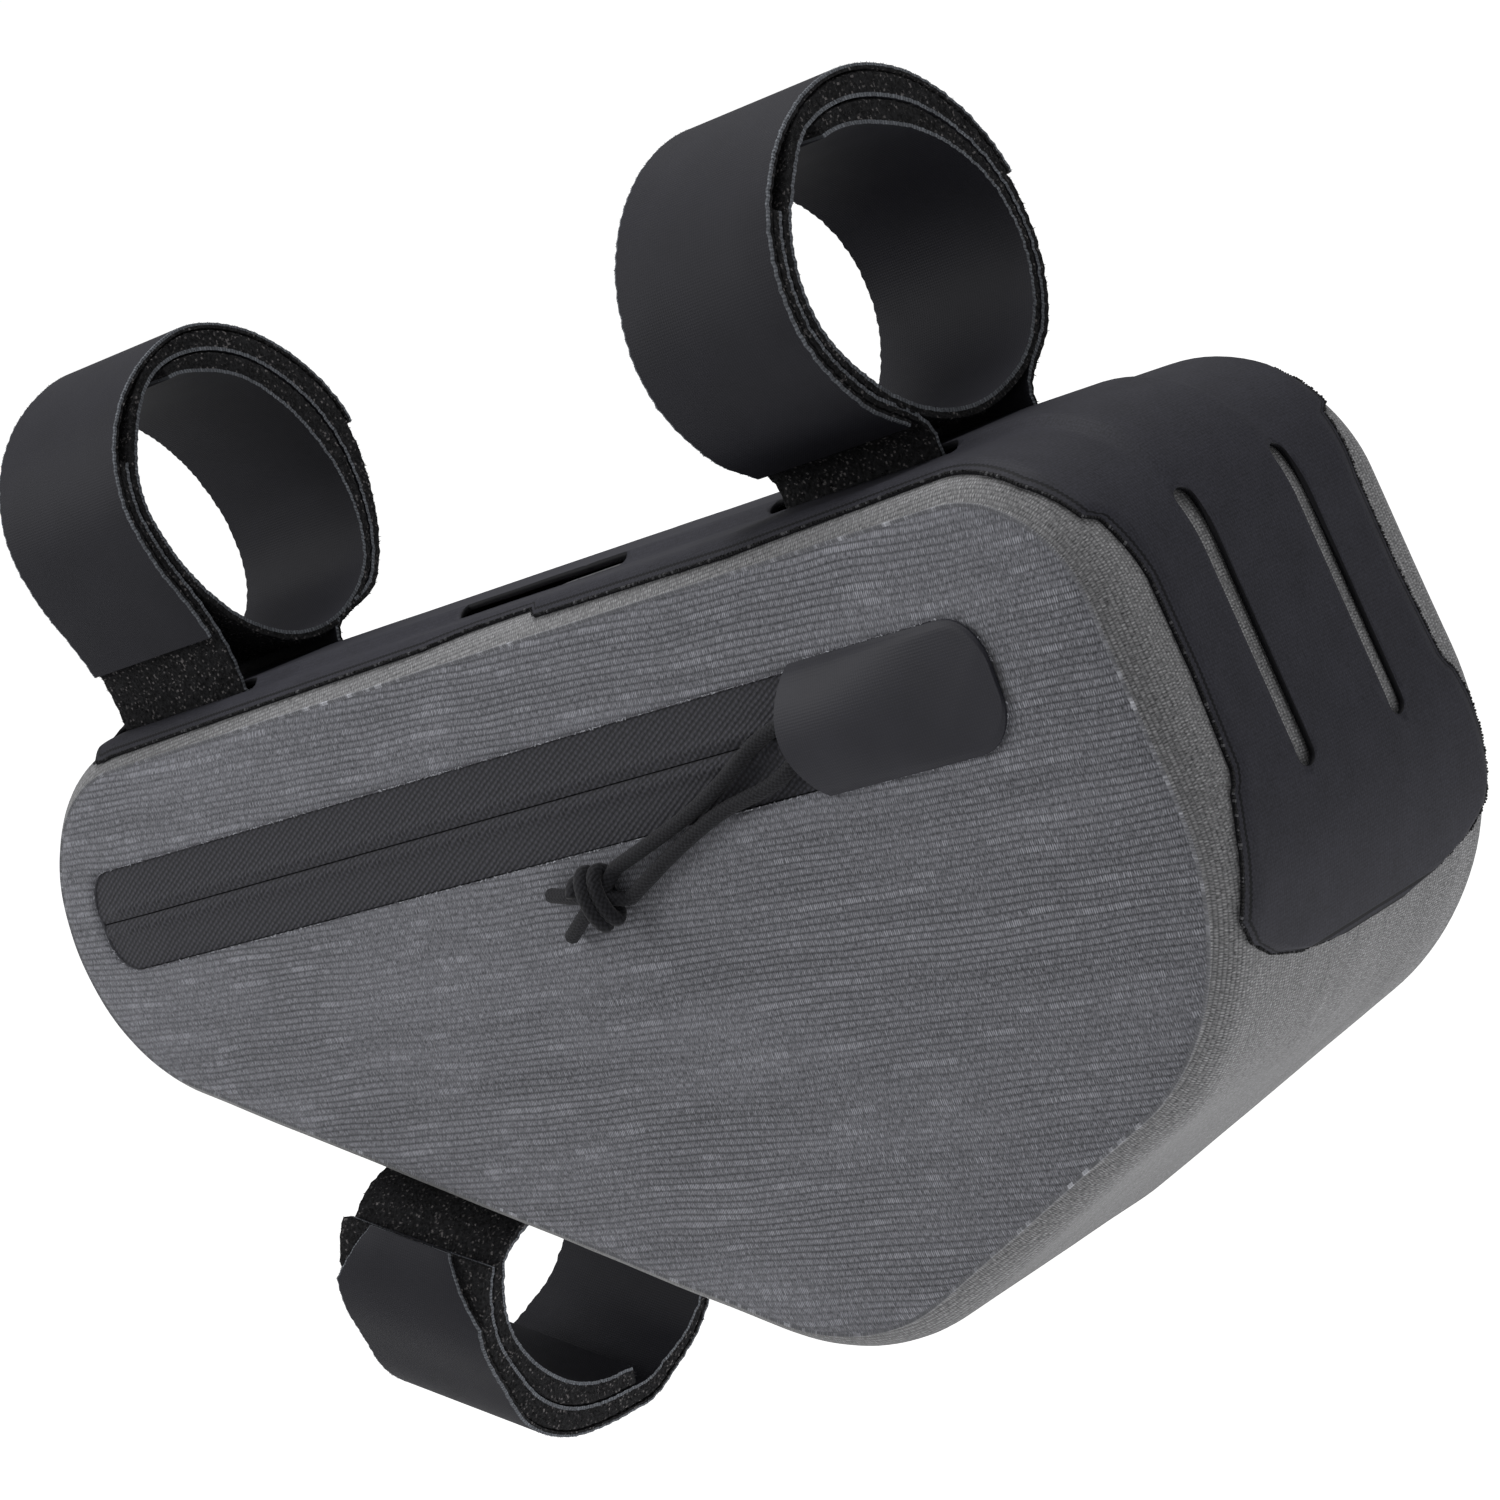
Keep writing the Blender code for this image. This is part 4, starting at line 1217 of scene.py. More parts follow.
@dataclass(frozen=True)
class Thread(Finish):
    """Single fibres, each with its own shade."""

    pale: Rgb = (0.30, 0.31, 0.34)
    pale_share: float = 0.15

    def pattern(self, graph: Graph) -> tuple[object, object]:
        """Colour by the fibre's own number.

        Args:
            graph: The material's tree.

        Returns:
            The colour, and no height.
        """
        shade = graph.node("ShaderNodeAttribute", attribute_name="shade").outputs["Fac"]
        edge = 1.0 - self.pale_share
        return graph.blend(graph.ramp(shade, edge - 0.1, edge + 0.1), self.colour, self.pale), None


@dataclass(frozen=True)
class Braid(Finish):
    """Braided cord, with painted shade between its strands."""

    def pattern(self, graph: Graph) -> tuple[object, object]:
        """Colour by the height of the braid, as painted shade where it is low between the strands.

        Args:
            graph: The material's tree.

        Returns:
            The colour and the height of the fine fibres.
        """
        shade = graph.node("ShaderNodeAttribute", attribute_name="shade").outputs["Fac"]
        place = graph.place()
        fibre = graph.cloud(place, 3200.0, 2.0)
        level = graph.fit(fibre, 0.5, graph.fit(shade, 0.9, -0.3), clamp=True)
        return graph.blend(level, self.tint(0.25), self.tint(1.9)), fibre


@dataclass(frozen=True)
class Nap:
    """Short threads that stand on the faces of one finish, placed by Geometry Nodes."""

    name: str
    finish: Thread
    density: float
    length: float
    thickness: float
    lean: float
    seed: int = 1

    def tree(self, ground: Material) -> NodeTree:
        """Node tree that scatters the threads.

        Args:
            ground: The finish of the faces that they stand on.

        Returns:
            The tree, with its sizes as named inputs.
        """
        graph = geometry_graph(self.name, "Density", "Length", "Thickness", "Lean")
        source = graph.node("NodeGroupInput").outputs
        chosen = graph.fed("GeometryNodeMaterialSelection", {"Material": ground})
        spread = graph.fed("GeometryNodeDistributePointsOnFaces",
                           {"Mesh": source["Geometry"], "Selection": chosen.outputs[0],
                            "Density": source["Density"], "Seed": self.seed})
        thread = graph.fed("GeometryNodeMeshCone",
                           {"Vertices": 3, "Radius Bottom": source["Thickness"], "Depth": source["Length"]},
                           fill_type="NONE")
        back = graph.times(source["Lean"], -1.0)
        low = graph.point(back, back, 0.0)
        high = graph.point(source["Lean"], source["Lean"], math.pi)
        placed = planted(graph, spread, thread, (low, high), 0.5, self.seed)
        threads = shaded_instances(graph, placed, self.finish.build(), self.seed + 2)
        joined = graph.node("GeometryNodeJoinGeometry")
        graph.feed(joined.inputs[0], threads)
        graph.feed(joined.inputs[0], source["Geometry"])
        graph.fed("NodeGroupOutput", {0: joined.outputs[0]})
        return graph.tree

    def put_on(self, item: Object, ground: Material) -> None:
        """Scatter the threads over a piece, which stays a plain mesh.

        Args:
            item: The piece.
            ground: The finish of the faces that they stand on.
        """
        step = item.modifiers.new(self.name, "NODES")
        step.node_group = self.tree(ground)
        set_inputs(step, {"Density": self.density, "Length": self.length, "Thickness": self.thickness,
                          "Lean": self.lean})
        plain(item)


def geometry_graph(name: str, *sizes: str) -> Graph:
    """New tree of Geometry Nodes.

    Args:
        name: Its name.
        sizes: Names of its inputs beside the geometry.

    Returns:
        The calls that build it.
    """
    tree = bpy.data.node_groups.new(name, "GeometryNodeTree")
    tree.interface.new_socket("Geometry", in_out="INPUT", socket_type="NodeSocketGeometry")
    for size in sizes:
        tree.interface.new_socket(size, in_out="INPUT", socket_type="NodeSocketFloat")
    tree.interface.new_socket("Geometry", in_out="OUTPUT", socket_type="NodeSocketGeometry")
    return Graph(tree)


def planted(graph: Graph, points: Node, thing: Node,
            leans: tuple[NodeSocket, NodeSocket], smallest: float, seed: int) -> NodeSocket:
    """Set a thing on every point, each with its own lean and size.

    Args:
        graph: The tree in work.
        points: The node that makes the points.
        thing: The node that makes the thing's mesh.
        leans: The least and the greatest turn.
        smallest: The least size.
        seed: Fixed seed of the turns, and one less than that of the sizes.

    Returns:
        The instances' socket.
    """
    lean = graph.fed("FunctionNodeRandomValue", {"Min": leans[0], "Max": leans[1], "Seed": seed},
                     data_type="FLOAT_VECTOR")
    turn = graph.fed("FunctionNodeEulerToRotation", {0: lean.outputs["Value"]})
    turned = graph.fed("FunctionNodeRotateRotation", {0: points.outputs["Rotation"], 1: turn.outputs[0]},
                       rotation_space="LOCAL")
    return graph.fed("GeometryNodeInstanceOnPoints",
                     {"Points": points.outputs["Points"], "Instance": thing.outputs["Mesh"],
                      "Rotation": turned.outputs[0],
                      "Scale": random_number(graph, smallest, 1.2, seed + 1)}).outputs[0]


def set_inputs(step: Modifier, values: dict[str, float]) -> None:
    """Set a node modifier's inputs by their sockets' identifiers.

    Args:
        step: The modifier.
        values: A value for each named input.
    """
    for socket in step.node_group.interface.items_tree:
        if socket.item_type == "SOCKET" and socket.in_out == "INPUT" and socket.name in values:
            step[socket.identifier] = values[socket.name]


def random_number(graph: Graph, low: float, high: float, seed: int) -> NodeSocket:
    """Random number of each point between two limits.

    Args:
        graph: The tree in work.
        low: The lower limit.
        high: The upper limit.
        seed: Its fixed seed.

    Returns:
        The number's socket.
    """
    made = graph.node("FunctionNodeRandomValue", data_type="FLOAT")
    floats = [socket for socket in made.inputs if socket.type == "VALUE" and socket.enabled]
    floats[0].default_value = low
    floats[1].default_value = high
    made.inputs["Seed"].default_value = seed
    return next(socket for socket in made.outputs if socket.type == "VALUE" and socket.enabled)


def shaded_instances(graph: Graph, instances: NodeSocket, finish: Material, seed: int) -> NodeSocket:
    """Give each instance its own shade, and turn them all into one mesh with a finish.

    Args:
        graph: The tree in work.
        instances: The instances' socket.
        finish: Their material.
        seed: Fixed seed of the shades.

    Returns:
        The mesh's socket.
    """
    shade = random_number(graph, 0.0, 1.0, seed)
    inputs = {"Geometry": instances, "Name": "shade", "Value": shade}
    stored = graph.fed("GeometryNodeStoreNamedAttribute", inputs, data_type="FLOAT", domain="INSTANCE")
    real = graph.fed("GeometryNodeRealizeInstances", {0: stored.outputs[0]})
    return graph.fed("GeometryNodeSetMaterial", {"Geometry": real.outputs[0], "Material": finish}).outputs[0]


@dataclass(frozen=True)
class Fringe:
    """A row of small blocks or threads along a line, placed by Geometry Nodes."""

    name: str
    finish: Thread
    pitch: float
    size: tuple[float, float, float]
    lean: float
    smallest: float = 0.5
    seed: int = 3

    def tree(self) -> NodeTree:
        """Node tree that sets the blocks along a line.

        Returns:
            The tree, with its sizes as named inputs.
        """
        graph = geometry_graph(self.name, "Pitch", "Run", "Side", "Height", "Lean")
        source = graph.node("NodeGroupInput").outputs
        line = graph.fed("GeometryNodeMeshToCurve", {0: source["Geometry"]})
        points = graph.fed("GeometryNodeCurveToPoints", {"Curve": line.outputs[0], "Length": source["Pitch"]},
                           mode="LENGTH")
        size = graph.point(source["Side"], source["Height"], source["Run"])
        block = graph.fed("GeometryNodeMeshCube", {"Size": size})
        back = graph.times(source["Lean"], -1.0)
        leans = (graph.point(back, back, back), graph.point(source["Lean"], source["Lean"], source["Lean"]))
        placed = planted(graph, points, block, leans, self.smallest, self.seed)
        made = shaded_instances(graph, placed, self.finish.build(), self.seed + 2)
        graph.fed("NodeGroupOutput", {0: made})
        return graph.tree

    def along(self, lines: Sequence[Sequence[Vector]]) -> Object:
        """Set the blocks along open lines.

        Args:
            lines: The points of each line.

        Returns:
            One plain mesh with all the blocks.
        """
        points, edges = [], []
        for line in lines:
            start = len(points)
            points += line
            edges += [(start + k, start + k + 1) for k in range(len(line) - 1)]
        mesh = bpy.data.meshes.new(self.name)
        mesh.from_pydata(points, edges, [])
        item = add_object(self.name, mesh)
        step = item.modifiers.new(self.name, "NODES")
        step.node_group = self.tree()
        run, side, height = self.size
        set_inputs(step, {"Pitch": self.pitch, "Run": run, "Side": side, "Height": height, "Lean": self.lean})
        return plain(item)


def merge(target: Object, *others: Object) -> Object:
    """Join other plain meshes into a piece.

    Args:
        target: The piece that stays.
        others: The meshes that become part of it.

    Returns:
        The piece.
    """
    every = [target, *others]
    with bpy.context.temp_override(active_object=target, object=target, selected_objects=every,
                                   selected_editable_objects=every):
        bpy.ops.object.join()
    return target


@dataclass
class SideZip:
    """The welded side zip: two twill tapes over a hidden coil, and the flap over its end."""

    length: float = 266.0 * MM
    height: float = 22.0 * MM
    corner: float = 8.0 * MM
    clearance: float = 0.3 * MM
    split: float = 0.28 * MM
    recess: float = 0.4 * MM
    tape_thickness: float = 1.2 * MM
    coil_place: float = 2.1 * MM
    coil_spread: float = 1.1 * MM
    coil_height: float = 0.45 * MM
    flap_length: float = 50.5 * MM
    flap_lap: float = 1.2 * MM
    flap_bow: float = 4.0 * MM
    flap_thickness: float = 0.9 * MM
    flap_lift: float = 4.3 * MM
    slider_reach: float = 19.3 * MM
    depth: float = 24.0 * MM
    tape_step: float = 0.36 * MM
    coil_pitch: float = 1.3 * MM
    coil_wave: float = 0.14 * MM
    flap_steps: int = 44
    flap_rows: int = 30

    @property
    def middle_z(self) -> float:
        """Height of the zip's centre line."""
        return FORM.top_z - self.depth - self.height / 2

    @property
    def flap_front(self) -> float:
        """X of the open edge of the flap."""
        return self.length / 2 + self.flap_lap - self.flap_length

    def rounding(self, run: float, corner: float) -> float:
        """How far a rounded corner pulls an edge in, at a distance from the strip's end."""
        short = max(corner - run, 0.0)
        return corner - math.sqrt(max(corner * corner - short * short, 0.0))

    def strip(self, name: str, columns: Sequence[Sequence[tuple[float, float, float, float]]],
              finish: Material) -> Object:
        """A thin strip on the near side.

        Args:
            name: Name of the piece.
            columns: For each section its points, as x, z, outer height and inner height.
            finish: Its material.

        Returns:
            The object.
        """
        rings = []
        for column in columns:
            outer = [Vector((x, FORM.side_y(x, z, top), z)) for x, z, top, _ in column]
            inner = [Vector((x, FORM.side_y(x, z, low), z)) for x, z, _, low in reversed(column)]
            rings.append(outer + inner)
        count = len(rings[0])

        def cloth(band: int, ring: int, k: int) -> tuple[float, float]:
            """Distances along the bag and up."""
            place = rings[ring][k % count]
            return (place.x, place.z)

        return add_object(name, Loft(rings, {"cloth": cloth}, smooth_angle=50.0).mesh(name), finish)

    def tape(self, name: str, way: int, finish: Material) -> Object:
        """One half of the zip.

        Args:
            name: Name of the piece.
            way: One for the upper half, minus one for the lower.
            finish: Its material.

        Returns:
            The object.
        """
        length = self.length - 2.0 * self.clearance
        corner = self.corner - self.clearance
        half = self.height / 2 - self.clearance
        ends = [corner * (1.0 - math.cos(math.radians(9.0 * k))) for k in range(11)]
        steps = round((length - 2.0 * corner) / self.tape_step)
        runs = ends + [corner + (length - 2.0 * corner) * k / steps for k in range(1, steps)]
        runs += [length - run for run in reversed(ends)]
        columns = []
        for run in runs:
            x = run - length / 2
            edge = half - self.rounding(min(run, length - run), corner)
            column = []
            for k in range(19):
                z = self.split / 2 + (edge - self.split / 2) * k / 18
                near = math.exp(-((z - self.coil_place) / self.coil_spread) ** 2)
                beat = math.sin(2.0 * math.pi * (x + way * 0.25 * self.coil_pitch) / self.coil_pitch)
                coil = (self.coil_height + self.coil_wave * beat) * near
                lip = 0.25 * MM * math.exp(-((z - self.split / 2) / (0.35 * MM)) ** 2)
                top = -self.recess + coil - lip
                column.append((x, self.middle_z + way * z, top, -self.recess - self.tape_thickness))
            columns.append(column)
        return self.strip(name, columns, finish)

    def flap(self) -> Object:
        """The smooth flap over the zip's closed end, domed over the slider."""
        half = self.height / 2 + self.flap_lap
        corner = self.corner + self.flap_lap
        straight = self.flap_length - corner
        runs = [straight * k / self.flap_steps for k in range(self.flap_steps)]
        runs += [straight + corner * math.sin(math.radians(7.5 * k)) for k in range(13)]
        columns = []
        for run in runs:
            edge = half - self.rounding(self.flap_length - run, corner)
            fade = 1.0 - smooth_step((run - 0.5 * self.slider_reach) / (0.72 * self.flap_length))
            column = []
            for k in range(self.flap_rows + 1):
                share = math.sin(math.radians(-90.0 + 180.0 * k / self.flap_rows))
                across = 1.0 - share * share
                low = self.clearance + (self.flap_lift - self.clearance) * fade * across
                bow = self.flap_bow * share * share * max(1.0 - run / self.flap_length, 0.0)
                thick = self.flap_thickness * (0.55 + 0.45 * smooth_step((1.0 - abs(share)) / 0.12))
                column.append((self.flap_front + run + bow, self.middle_z + share * edge, low + thick, low))
            columns.append(column)
        film = Webbing("garage film", (0.023, 0.023, 0.030), roughness=0.55, specular=0.3,
                       relief=0.03 * MM).build()
        return self.strip("zip_flap", columns, film)

    def rim(self) -> list[list[Vector]]:
        """Lines of the cloth's cut edge, round the window and past the flap."""
        lines = []
        half, lap = self.height / 2, self.flap_lap
        for way in (1, -1):
            line = []
            for k in range(13):
                turn = math.radians(7.5 * k)
                x = -self.length / 2 + self.corner * (1.0 - math.cos(turn))
                z = half - self.corner + self.corner * math.sin(turn)
                line.append((x, z))
            steps = 60
            end = self.flap_front + self.flap_bow
            start = line[-1][0]
            line += [(start + (end - start) * k / steps, half) for k in range(1, steps + 1)]
            end_x = self.length / 2 + lap
            corner = self.corner + lap
            line += [(end + (end_x - corner - end) * k / 12, half + lap + 0.1 * MM) for k in range(1, 13)]
            for k in range(1, 13):
                turn = math.radians(7.5 * k)
                line.append((end_x - corner + corner * math.sin(turn) + 0.1 * MM,
                             half + lap - corner + corner * math.cos(turn)))
            lines.append([Vector((x, FORM.side_y(x, self.middle_z + way * z, 0.05 * MM),
                                  self.middle_z + way * z)) for x, z in line])
        return lines

    def build(self, frame: dict, cloth: Object) -> None:
        """Make the tapes, the flap and the cut threads round the window, and dress the slider.

        Args:
            frame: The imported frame.
            cloth: The body's cloth, which gets the cut threads.
        """
        twill = Twill("zip twill", (0.027, 0.027, 0.034),
                      roughness=0.75, sheen=0.1, relief=0.16 * MM).build()
        finish_piece(self.tape("twill_upper", 1, twill), Slot.TWILL, "zip_tape_upper")
        finish_piece(self.tape("twill_lower", -1, twill), Slot.TWILL, "zip_tape_lower")
        finish_piece(self.flap(), Slot.FILM, "zip_garage")
        threads = Thread("cut threads", (0.16, 0.16, 0.18), roughness=0.7, pale=(0.44, 0.45, 0.49),
                         pale_share=0.35)
        fray = Fringe("window_fray", threads, 0.42 * MM, (0.55 * MM, 0.16 * MM, 0.16 * MM), 1.0)
        merge(cloth, fray.along(self.rim()))
        slider = frame["nodes"]["zip_slider"]
        enamel = Finish("slider enamel", (0.05, 0.05, 0.055), roughness=0.35, metallic=0.6).build()
        slider.data.materials.clear()
        slider.data.materials.append(enamel)


@dataclass(frozen=True)
class RingRow:
    """Shape of a strap's ring at an angle clockwise from the top, as seen from the wide end."""

    angle: float
    radius: float
    pile: float


REAR_ROWS = (
    RingRow(0, 0.74, 2.2), RingRow(20, 0.72, 2.3), RingRow(50, 0.785, 1.9), RingRow(85, 0.945, 1.15),
    RingRow(110, 1.025, 1.0), RingRow(135, 1.04, 1.0), RingRow(162, 0.985, 1.0),
    RingRow(199, 0.955, 1.0), RingRow(231, 0.975, 1.0), RingRow(259, 1.035, 1.0),
    RingRow(287, 1.005, 1.0), RingRow(308, 0.94, 1.15), RingRow(332, 0.84, 1.6),
)
FRONT_ROWS = (
    RingRow(0, 0.84, 2.0), RingRow(20, 0.787, 2.2), RingRow(48, 0.735, 2.4), RingRow(78, 0.76, 2.4),
    RingRow(103, 0.861, 1.7), RingRow(122, 0.97, 1.2), RingRow(135, 1.03, 1.0),
    RingRow(150, 1.035, 1.0), RingRow(165, 1.02, 1.0), RingRow(184, 0.971, 1.0),
    RingRow(206, 0.894, 1.0), RingRow(234, 0.832, 1.0), RingRow(261, 0.848, 1.0),
    RingRow(282, 0.91, 1.0), RingRow(305, 0.94, 1.05), RingRow(341, 0.92, 1.3),
)
BOTTOM_ROWS = (
    RingRow(30, 0.90, 1.0), RingRow(60, 0.94, 1.0), RingRow(90, 1.10, 1.0), RingRow(115, 1.19, 1.1),
    RingRow(140, 1.24, 1.5), RingRow(155, 1.12, 2.0), RingRow(168, 0.98, 2.2),
    RingRow(182, 0.93, 2.2), RingRow(199, 0.89, 2.4), RingRow(222, 0.87, 2.4),
    RingRow(243, 0.91, 1.8), RingRow(265, 1.0, 1.7), RingRow(284, 1.06, 1.6),
    RingRow(300, 1.06, 1.2), RingRow(330, 0.95, 1.0),
)


@dataclass(frozen=True)
class Winding:
    """How a strap is wound: its ring's centre in ring radii, and the angles where it changes."""

    name: str
    rows: tuple[RingRow, ...]
    far: float
    out: float
    start: float
    climb: float
    climbed: float
    leave: float
    join: float
    tail_end: float
    tab_end: float
    tab: float = 0.0
    lead_steps: int = 9


Pair = tuple[Vector, Vector]


@dataclass
class LoopStrap:
    """A wide hook-and-loop strap, napped outside and smooth inside, with its smooth hook tab."""

    winding: Winding
    origin: Vector
    across: Vector
    out: Vector
    width: float = 38.0 * MM
    thickness: float = 2.1 * MM
    flat: float = 1.4 * MM
    tab_thickness: float = 1.2 * MM
    radius: float = 31.0 * MM
    clearance: float = 0.3 * MM
    backing: float = 0.75 * MM
    slot_spread: float = 15.0 * MM
    bend: float = 1.1 * MM
    angle_step: float = 2.0
    tooth: float = 0.11 * MM
    stray: float = 0.25 * MM
    stray_scale: float = 400.0
    tip_run: float = 0.0
    tip_cut: float = 8.6 * MM

    def value(self, angle: float, column: str) -> float:
        """Smooth value of one column of the ring's table.

        Args:
            angle: Angle in degrees.
            column: Name of the column.

        Returns:
            The value there.
        """
        rows = self.winding.rows
        angle = angle % 360.0
        after = next((k for k, row in enumerate(rows) if row.angle > angle), len(rows))
        picks = []
        for k in range(after - 2, after + 2):
            turns, place = divmod(k, len(rows))
            picks.append((rows[place].angle + 360.0 * turns, getattr(rows[place], column)))
        (a0, v0), (a1, v1), (a2, v2), (a3, v3) = picks
        t = (angle - a1) / (a2 - a1)
        slope_1 = (v2 - v0) / (a2 - a0) * (a2 - a1)
        slope_2 = (v3 - v1) / (a3 - a1) * (a2 - a1)
        bend = 2 * t ** 3 - 3 * t ** 2
        return ((bend + 1) * v1 + (t ** 3 - 2 * t ** 2 + t) * slope_1
                - bend * v2 + (t ** 3 - t ** 2) * slope_2)

    def pair(self, angle: float, layer: float, thickness: float = 0.0) -> Pair:
        """Inner and outer points of a layer of the ring, as far and out distances.

        Args:
            angle: Angle in degrees.
            layer: How many layers lie under it.
            thickness: Its thickness, or zero for the strap's own.

        Returns:
            The two points.
        """
        strap = self.thickness * self.value(angle, "pile")
        inner = self.radius * self.value(angle, "radius") + layer * (strap + self.clearance)
        outer = inner + (thickness or strap)
        turn = math.radians(angle)
        way = Vector((math.sin(turn), math.cos(turn)))
        centre = Vector((self.winding.far, self.winding.out)) * self.radius
        return centre + way * inner, centre + way * outer

    def turns(self, start: float, end: float, layer_at: Callable[[float], float],
              thickness: float = 0.0) -> list[Pair]:
        """Pairs of points along a turn.

        Args:
            start: Its first angle.
            end: Its last angle.
            layer_at: How many layers lie under it at an angle.
            thickness: Its thickness, or zero for the strap's own.

        Returns:
            The pairs.
        """
        steps = max(2, round(abs(end - start) / self.angle_step))
        angles = [start + (end - start) * k / steps for k in range(steps + 1)]
        return [self.pair(angle, layer_at(angle), thickness) for angle in angles]

    def end_of(self, pairs: Sequence[Pair], place: int) -> tuple[Vector, Vector]:
        """Centre and direction of the first or the last pair."""
        middles = [0.5 * (inner + outer) for inner, outer in pairs]
        step = middles[1] - middles[0] if place == 0 else middles[-1] - middles[-2]
        return middles[place], step.normalized()

    def layer(self, points: Sequence[Vector], first: float, last: float) -> list[Pair]:
        """Pairs on both sides of a centre line.

        Args:
            points: The centre line.
            first: Thickness at its start.
            last: Thickness at its end.

        Returns:
            The pairs.
        """
        pairs = []
        end = len(points) - 1
        for k, point in enumerate(points):
            run = (points[min(k + 1, end)] - points[max(k - 1, 0)]).normalized()
            right = Vector((run.y, -run.x))
            half = 0.5 * (first + (last - first) * k / end)
            pairs.append((point + right * half, point - right * half))
        return pairs

    def bridge(self, start: tuple[Vector, Vector], end: tuple[Vector, Vector],
               share: float) -> list[Vector]:
        """Smooth curve between two places with given headings.

        Args:
            start: First point and heading.
            end: Last point and heading.
            share: Pull of the headings as a share of the distance.

        Returns:
            The curve's points.
        """
        pull = share * (end[0] - start[0]).length
        a, b = start[0] + start[1] * pull, end[0] - end[1] * pull
        steps = 14
        curve = []
        for k in range(steps + 1):
            t = k / steps
            u = 1.0 - t
            curve.append(start[0] * u ** 3 + a * 3 * u * u * t + b * 3 * u * t * t + end[0] * t ** 3)
        return curve

    def sleeve(self) -> list[Vector]:
        """Centre line under the panel, from above the far slot to above the near slot."""
        low = FORM.top_z + self.clearance + self.flat / 2
        points = [Vector((self.slot_spread, self.flat / 2))]
        for k in range(7):
            turn = math.radians(15.0 * k)
            points.append(Vector((self.slot_spread - self.bend + self.bend * math.cos(turn),
                                  low + self.bend - self.bend * math.sin(turn))))
        return points + [Vector((-point.x, point.y)) for point in reversed(points)]

    def strap_pairs(self) -> list[Pair]:
        """The strap of a top ring: a turn and a half, under the panel and up the near side."""
        wound = self.winding
        climb = wound.climbed - wound.climb
        turns = self.turns(wound.start, wound.leave, lambda a: smooth_step((a - wound.climb) / climb))
        tail = self.turns(wound.join, wound.tail_end, lambda a: 1.0)
        sleeve = self.sleeve()
        entry = self.bridge(self.end_of(turns, -1), (sleeve[0], Vector((0.0, -1.0))), 0.35)
        return (turns + self.layer(entry, self.thickness, self.flat)[1:-1]
                + self.layer(sleeve, self.flat, self.flat) + self.rise()[1:-1] + tail)

    def tab_pairs(self) -> list[Pair]:
        """The hook tab, from the near side's rise over the strap's two turns."""
        wound = self.winding
        lead = []
        for inner, outer in self.rise()[-wound.lead_steps:]:
            way = (outer - inner).normalized()
            lead.append((outer + way * self.clearance, outer + way * (self.clearance + self.tab_thickness)))
        return lead[:-1] + self.turns(wound.join, wound.tab_end, lambda a: 2.0, self.tab_thickness)

    def rise(self) -> list[Pair]:
        """The stretch from the panel's near slot up to the ring."""
        tail = self.turns(self.winding.join, self.winding.tail_end, lambda a: 1.0)
        line = self.bridge((self.sleeve()[-1], Vector((0.0, 1.0))), self.end_of(tail, 0), 0.35)
        return self.layer(line, self.flat, self.thickness)

    def ribbon(self, name: str, pairs: Sequence[Pair], backing: float, nap: bool,
               finishes: Sequence[Material]) -> Object:
        """Solid of a strap or a tab, with its cut edges.

        Args:
            name: Name of the piece.
            pairs: Its sections.
            backing: Thickness of the pale-edged layer.
            nap: Whether the napped face is the outer one.
            finishes: Smooth face, cut edge and nap.

        Returns:
            The object.
        """
        runs = [0.0]
        for (a, b), (c, d) in zip(pairs, pairs[1:]):
            runs.append(runs[-1] + (0.5 * (c + d) - 0.5 * (a + b)).length)
        rings, sides = [], []
        for number, (inner, outer) in enumerate(pairs):
            thick = max((outer - inner).length, 1e-6)
            seam = min(backing / thick, 0.6)
            if not nap:
                seam = 1.0 - seam
            cut_in = 0.0
            if self.tip_run and not nap:
                cut_in = self.tip_cut * max(0.0, 1.0 - (runs[-1] - runs[number]) / self.tip_run)
            stray = noise.noise(Vector((runs[number] * self.stray_scale, 3.0, 1.0)))
            jag = self.tooth * ((number % 2) * 2 - 1) + self.stray * stray
            ring, side = [], []
            plan = [(0.0, -0.5), (0.0, -0.25), (0.0, 0.0), (0.0, 0.25), (0.0, 0.5), (seam, 0.5), (0.92, 0.5),
                    (1.0, 0.49), (1.0, 0.25), (1.0, 0.0), (1.0, -0.25), (1.0, -0.49),
                    (0.92, -0.5), (seam, -0.5)]
            for depth, place in plan:
                point = inner.lerp(outer, depth)
                shift = place * 2.0 * (self.width / 2 - cut_in + (jag if abs(place) > 0.4 else 0.0))
                ring.append(self.origin + Vector((0.0, 1.0, 0.0)) * point.x + self.out * point.y
                            + self.across * shift)
                side.append(shift)
            rings.append(ring)
            sides.append(side)
        count = len(rings[0])

        def finish_of(band: int, k: int) -> int:
            """Number of a face's finish: smooth face, cut edge or nap."""
            inner_side = k in (4, 13)
            if k < 4:
                return 0 if nap else 2
            if 7 <= k <= 10:
                return 2 if nap else 0
            return 1 if inner_side == nap else 2

        def cloth(band: int, ring: int, k: int) -> tuple[float, float]:
            """Distances along the strap and across it."""
            return (runs[ring], sides[ring][k % count])

        loft = Loft(rings, {"cloth": cloth}, finish_of, smooth_angle=45.0)
        return add_object(name, loft.mesh(name), *finishes)

    def finishes(self) -> list[Material]:
        """Smooth face, cut edge and nap of this strap."""
        name = self.winding.name
        smooth = Webbing(f"{name} smooth face", (0.016, 0.016, 0.021),
                         roughness=0.65, specular=0.25, relief=0.05 * MM)
        edge = CutEdge(f"{name} cut edge", (0.1, 0.1, 0.1), roughness=0.8, relief=0.15 * MM)
        nap = Pile(f"{name} nap", (0.013, 0.013, 0.014), roughness=0.95, specular=0.15, relief=0.4 * MM)
        return [finish.build() for finish in (smooth, edge, nap)]

